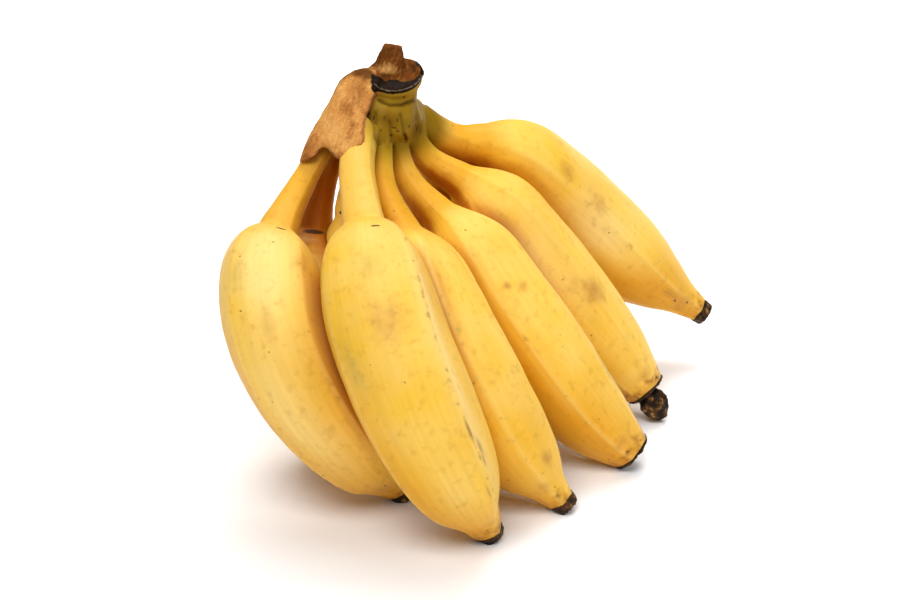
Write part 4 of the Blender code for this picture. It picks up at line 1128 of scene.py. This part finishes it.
def makePeel():
    look = peelLook
    made, tree, shader = newMaterial("ripeBananaPeel")
    where = addNode(tree, "TexCoord", out=3)
    colour, mottle, sheen = fleshColour(tree, where)
    space = addNode(tree, "Attribute", out=1, attribute_name="flatSpace")
    stretched = addNode(tree, "Mapping", {"Vector": space, "Scale": (1, 1, 0.05)})
    patterns = {}
    for name, space, detail in (("fibre", stretched, 2.0), ("grain", where, 2.0), ("blemish", where, 3.0)):
        sockets = {"Vector": space, "Scale": perMetre(look[name + "Mm"]), "Detail": detail}
        patterns[name] = addNode(tree, "TexNoise", sockets)
    cells = addNode(tree, "TexVoronoi", {"Vector": where, "Scale": perMetre(look["speckMm"])}, 0)
    speckSome = addNode(tree, "MapRange", {0: mottle, 1: 0.46, 2: 0.54, 4: 0.7})
    speck = addNode(tree, "MapRange", {0: cells, 1: 0.085, 2: 0.045, 4: speckSome})
    ridge = addNode(tree, "Attribute", out=2, attribute_name="ridge")
    under = addNode(tree, "Attribute", out=2, attribute_name="under")
    upper = addNode(tree, "Attribute", out=2, attribute_name="upper")
    layers = [
        # painted light on the upper sides and painted shade on the under sides
        (addNode(tree, "MapRange", {0: upper, 4: 0.75}), "light"),
        (addNode(tree, "MapRange", {0: under, 4: 0.85}), "deep"),
        (addNode(tree, "MapRange", {0: ridge, 4: 0.45}), "pale"),
        (addNode(tree, "MapRange", {0: patterns["blemish"], 1: 0.55, 2: 0.74, 4: 0.24}), "rust"),
    ]

    def marked(name, tint, pattern, *edge):
        mark = addNode(tree, "Attribute", out=2, attribute_name=name)
        return wanderingMark(tree, mark, patterns[pattern], *edge, interpolation_type="SMOOTHSTEP"), tint

    layers += [marked(*row) for row in look["bruisesAndShade"]]
    layers.append((speck, "speck"))
    layers += [marked(*row) for row in look["scars"]]
    colour = layered(tree, colour, layers, look)
    streak = addNode(tree, "MapRange", {0: patterns["fibre"], 1: 0.3, 2: 0.7, 3: 0.95, 4: 1.04})
    streaked = {0: 1.0, 6: colour, 7: streak}
    colour = addNode(tree, "Mix", streaked, 2, data_type="RGBA", blend_type="MULTIPLY")
    tree.links.new(colour, shader.inputs["Base Color"])

    dull, glossy = look["roughness"] + 0.08, look["roughness"] - 0.05
    gloss = addNode(tree, "MapRange", {0: mottle, 1: 0.3, 2: 0.7, 3: glossy, 4: dull})
    tree.links.new(gloss, shader.inputs["Roughness"])
    shader.inputs["IOR"].default_value = look["ior"]
    tree.links.new(sheen, shader.inputs["Specular IOR Level"])
    fine = addNode(tree, "Bump", {"Height": patterns["grain"], "Distance": 0.00006, "Strength": 0.5})
    relief = {"Height": patterns["fibre"], "Distance": 0.00012, "Strength": 0.4, "Normal": fine}
    long = addNode(tree, "Bump", relief)
    tree.links.new(long, shader.inputs["Normal"])
    return made


# Cork and cut stalk: the plant's scar tissue, dried in the air. It is rough and dull, tan on the lobe,
# woody brown on the cut and black with dried sap round it; the flesh below fades from green to the peel.
# Shade is painted on in its folds, in the shade patches, along the lobe's right edge and where the necks
# leave it.
corkLook = {
    "tan": "#CA8844",
    "pale": "#DDA65C",
    "brown": "#86481A",
    "dark": "#553010",
    "cut": "#68370F",
    "sap": "#1D1006",
    # the lip's pale grey is partly its own colour and partly a painted highlight
    "lip": "#85765E",
    "spot": "#3E240A",
    "fleshBrown": "#5E3A06",
    "fleshDark": "#3C2204",
    "fleshPale": "#A6821A",
    "streakMm": 1.0,
    "grainMm": 0.5,
    "blotchMm": 5,
    "roughness": 0.8,
    "fleshRoughness": 0.44,
    "sapRoughness": 0.48,
    "ior": 1.42,
    "specular": 0.07,
    "sapSpecular": 0.06,
}


def makeCork():
    look = corkLook
    made, tree, shader = newMaterial("bananaCrownCork")
    where = addNode(tree, "TexCoord", out=3)
    flesh, _, sheen = fleshColour(tree, where)
    lean = {"Vector": where, "Rotation": (math.radians(-49), math.radians(35), 0.0), "Scale": (1, 1, 3.2)}
    streakSpace = addNode(tree, "Mapping", lean, vector_type="TEXTURE")
    streaks = {"Vector": streakSpace, "Scale": perMetre(look["streakMm"]), "Detail": 4.0}
    streak = addNode(tree, "TexNoise", streaks)
    blotch = addNode(tree, "TexNoise", {"Vector": where, "Scale": perMetre(look["blotchMm"]), "Detail": 4.0})
    grain = addNode(tree, "TexNoise", {"Vector": where, "Scale": perMetre(look["grainMm"]), "Detail": 2.0})
    part = {}
    for name in ("lobe", "edge", "sap", "lip", "cut", "pale", "brown", "shade", "spot", "crease", "green"):
        part[name] = addNode(tree, "Attribute", out=2, attribute_name=name)

    # Each layer is (part, pattern, how far its edge wanders, where it starts and is full, share, colour).
    def laid(colour, layers):
        for name, *edge, tint in layers:
            amount = wanderingMark(tree, part[name], *edge)
            tint = hexColour(look[tint]) if isinstance(tint, str) else tint
            colour = addNode(tree, "Mix", {0: amount, 6: colour, 7: tint}, 2, data_type="RGBA")
        return colour

    light = addNode(tree, "MapRange", {0: streak, 1: 0.46, 2: 0.68, 4: 0.6})
    heavy = addNode(tree, "MapRange", {0: blotch, 1: 0.50, 2: 0.66, 4: 0.55})
    corky = layered(tree, hexColour(look["tan"]), [(heavy, "brown"), (light, "pale")], look)
    corky = laid(corky, [
        ("brown", blotch, 1.2, 0.1, 1.0, 0.85, "brown"),
        ("pale", streak, 1.2, 0.1, 1.0, 0.85, "pale"),
        # the torn edge in dark brown, partly painted shade
        ("edge", blotch, 1.0, 0.25, 1.0, 0.6, "dark"),
    ])
    someLight = addNode(tree, "MapRange", {0: light, 4: 0.35})
    woody = layered(tree, hexColour(look["cut"]), [(someLight, "tan")], look)
    woody = laid(woody, [
        ("cut", blotch, 3.0, 1.1, 1.9, 0.7, "dark"),
        ("pale", streak, 0.9, 0.2, 0.8, 0.8, "pale"),
        ("brown", blotch, 0.9, 0.2, 0.9, 0.6, "dark"),
    ])
    flesh = laid(flesh, [
        ("green", blotch, 2.0, 0.75, 1.7, 0.5, "fleshPale"),
        ("brown", blotch, 1.2, 0.25, 1.0, 0.8, "fleshBrown"),
        # painted shade darkens the flesh along its folds
        ("crease", blotch, 0.7, 0.2, 1.1, 0.85, "fleshDark"),
    ])
    colour = laid(flesh, [
        ("lobe", streak, 0.3, 0.35, 0.65, 1.0, corky),
        ("cut", streak, 0.3, 0.35, 0.65, 1.0, woody),
        ("shade", blotch, 1.0, 0.2, 0.8, 0.85, "dark"),
        ("sap", blotch, 0.5, 0.35, 0.65, 1.0, "sap"),
        ("lip", grain, 0.9, 0.35, 0.9, 0.85, "lip"),
        ("spot", grain, 1.0, 0.35, 0.75, 0.85, "spot"),
    ])
    rough = addNode(tree, "Math", {0: part["lobe"], 1: part["cut"]}, operation="MAXIMUM")
    pores = addNode(tree, "MapRange", {0: grain, 1: 0.35, 2: 0.65, 3: -0.14, 4: 0.09})
    depth = addNode(tree, "Math", {0: pores, 1: rough, 2: 1.0}, operation="MULTIPLY_ADD")
    colour = addNode(tree, "Mix", {0: 1.0, 6: colour, 7: depth}, 2, data_type="RGBA", blend_type="MULTIPLY")
    tree.links.new(colour, shader.inputs["Base Color"])
    dull = addNode(tree, "MapRange", {0: rough, 3: look["fleshRoughness"], 4: look["roughness"]})
    shiny = {0: part["sap"], 1: 0.3, 2: 0.8, 3: dull, 4: look["sapRoughness"]}
    tree.links.new(addNode(tree, "MapRange", shiny), shader.inputs["Roughness"])
    shader.inputs["IOR"].default_value = look["ior"]
    matt = addNode(tree, "MapRange", {0: rough, 3: sheen, 4: look["specular"]})
    wet = addNode(tree, "MapRange", {0: part["sap"], 3: matt, 4: look["sapSpecular"]})
    tree.links.new(wet, shader.inputs["Specular IOR Level"])
    relief = addNode(tree, "Math", {0: streak, 1: grain}, operation="ADD")
    strong = addNode(tree, "MapRange", {0: rough, 3: 0.12, 4: 0.7})
    bump = addNode(tree, "Bump", {"Height": relief, "Distance": 0.0004, "Strength": strong})
    tree.links.new(bump, shader.inputs["Normal"])
    return made


# Dried flower: the withered end of the flower, black-brown and papery, with pale patches that are partly torn
# fibres and partly painted highlights.
driedLook = {
    "black": "#1A1006",
    "brown": "#4E3010",
    "pale": "#B08A54",
    "tornMm": 2.4,
    "paleShare": 0.75,
    "roughness": 0.55,
    "specular": 0.15,
}


def makeDried():
    look = driedLook
    made, tree, shader = newMaterial("driedBananaFlower")
    where = addNode(tree, "TexCoord", out=3)
    torn = addNode(tree, "TexNoise", {"Vector": where, "Scale": perMetre(look["tornMm"]), "Detail": 4.0})
    browner = addNode(tree, "MapRange", {0: torn, 1: 0.44, 2: 0.60})
    paler = addNode(tree, "MapRange", {0: torn, 1: 0.62, 2: 0.72, 4: look["paleShare"]})
    colour = layered(tree, hexColour(look["black"]), [(browner, "brown"), (paler, "pale")], look)
    tree.links.new(colour, shader.inputs["Base Color"])
    shader.inputs["Roughness"].default_value = look["roughness"]
    shader.inputs["Specular IOR Level"].default_value = look["specular"]
    bump = addNode(tree, "Bump", {"Height": torn, "Distance": 0.0005, "Strength": 0.7})
    tree.links.new(bump, shader.inputs["Normal"])
    return made


studio = {
    "floor": "#FFFFFF",
    "floorSize": 6.0,  # metres
    "floorDrop": 0.0002,  # so that it lies just under the tips
    "floorRoughness": 0.9,
    "world": 0.15,
    # (name, place, aim, size in metres, watts, spread in degrees)
    "lights": [
        ("key", (-0.25, -0.8, 1.15), (0, 0, 0.06), 0.7, 12, 180),
        ("fill", (0.9, -0.5, 0.8), (0, 0, 0.06), 0.8, 4, 180),
        ("top", (0.15, 0.2, 1.3), (0, 0, 0.06), 0.8, 5, 180),
        ("backdrop", (0, 1.7, 1.5), (0, 1.5, 0), 2.0, 45, 70),
    ],
}


def addStudio():
    look = studio
    half = look["floorSize"] / 2
    grid = bmesh.new()
    bmesh.ops.create_grid(grid, x_segments=8, y_segments=8, size=half)
    mesh = bpy.data.meshes.new("floor")
    grid.to_mesh(mesh)
    grid.free()
    floor = bpy.data.objects.new("floor", mesh)
    floor.location.z = -look["floorDrop"]
    bpy.context.scene.collection.objects.link(floor)
    made, _, shader = newMaterial("palePaper")
    shader.inputs["Base Color"].default_value = hexColour(look["floor"])
    shader.inputs["Roughness"].default_value = look["floorRoughness"]
    mesh.materials.append(made)

    for name, place, aim, size, watts, spread in look["lights"]:
        light = bpy.data.lights.new(name, "AREA")
        light.size = size
        light.energy = watts
        light.spread = math.radians(spread)
        thing = bpy.data.objects.new(name, light)
        thing.location = place
        thing.rotation_euler = (Vector(aim) - Vector(place)).to_track_quat("-Z", "Y").to_euler()
        bpy.context.scene.collection.objects.link(thing)
    world = bpy.data.worlds.new("softBox")
    bpy.context.scene.world = world
    world.use_nodes = True
    glow = world.node_tree.nodes["Background"].inputs
    glow["Color"].default_value = (1, 1, 1, 1)
    glow["Strength"].default_value = look["world"]


photoView = {
    "lens": 110,
    "sensor": 36,
    "distance": 1.0,  # metres
}


def addCamera():
    view = photoView
    lens = bpy.data.cameras.new("photoCamera")
    lens.lens = view["lens"]
    lens.sensor_width = view["sensor"]
    camera = bpy.data.objects.new("photoCamera", lens)
    back = -Vector(frontAway)
    camera.location = Vector((frontCentre - handCentre) * mm) + back * view["distance"]
    camera.rotation_euler = (-back).to_track_quat("-Z", "Y").to_euler()
    bpy.context.scene.collection.objects.link(camera)
    bpy.context.scene.camera = camera
    bpy.context.scene.view_settings.view_transform = "Standard"


addStudio()
addCamera()
print("studio and camera are set")
peel, cork, dried = makePeel(), makeCork(), makeDried()
print("materials are made")
forms = {name: fingerForm(spec) for name, spec in fingers.items()}
for number, (name, form) in enumerate(forms.items()):
    neighbours = [other for other in forms.values() if other is not form]
    addFinger(name, form, neighbours, number, peel)
    addFlowerEnd(name, form, number, dried)
    print(name, "is grown")
addCrown(forms, cork)
print("the crown is grown")
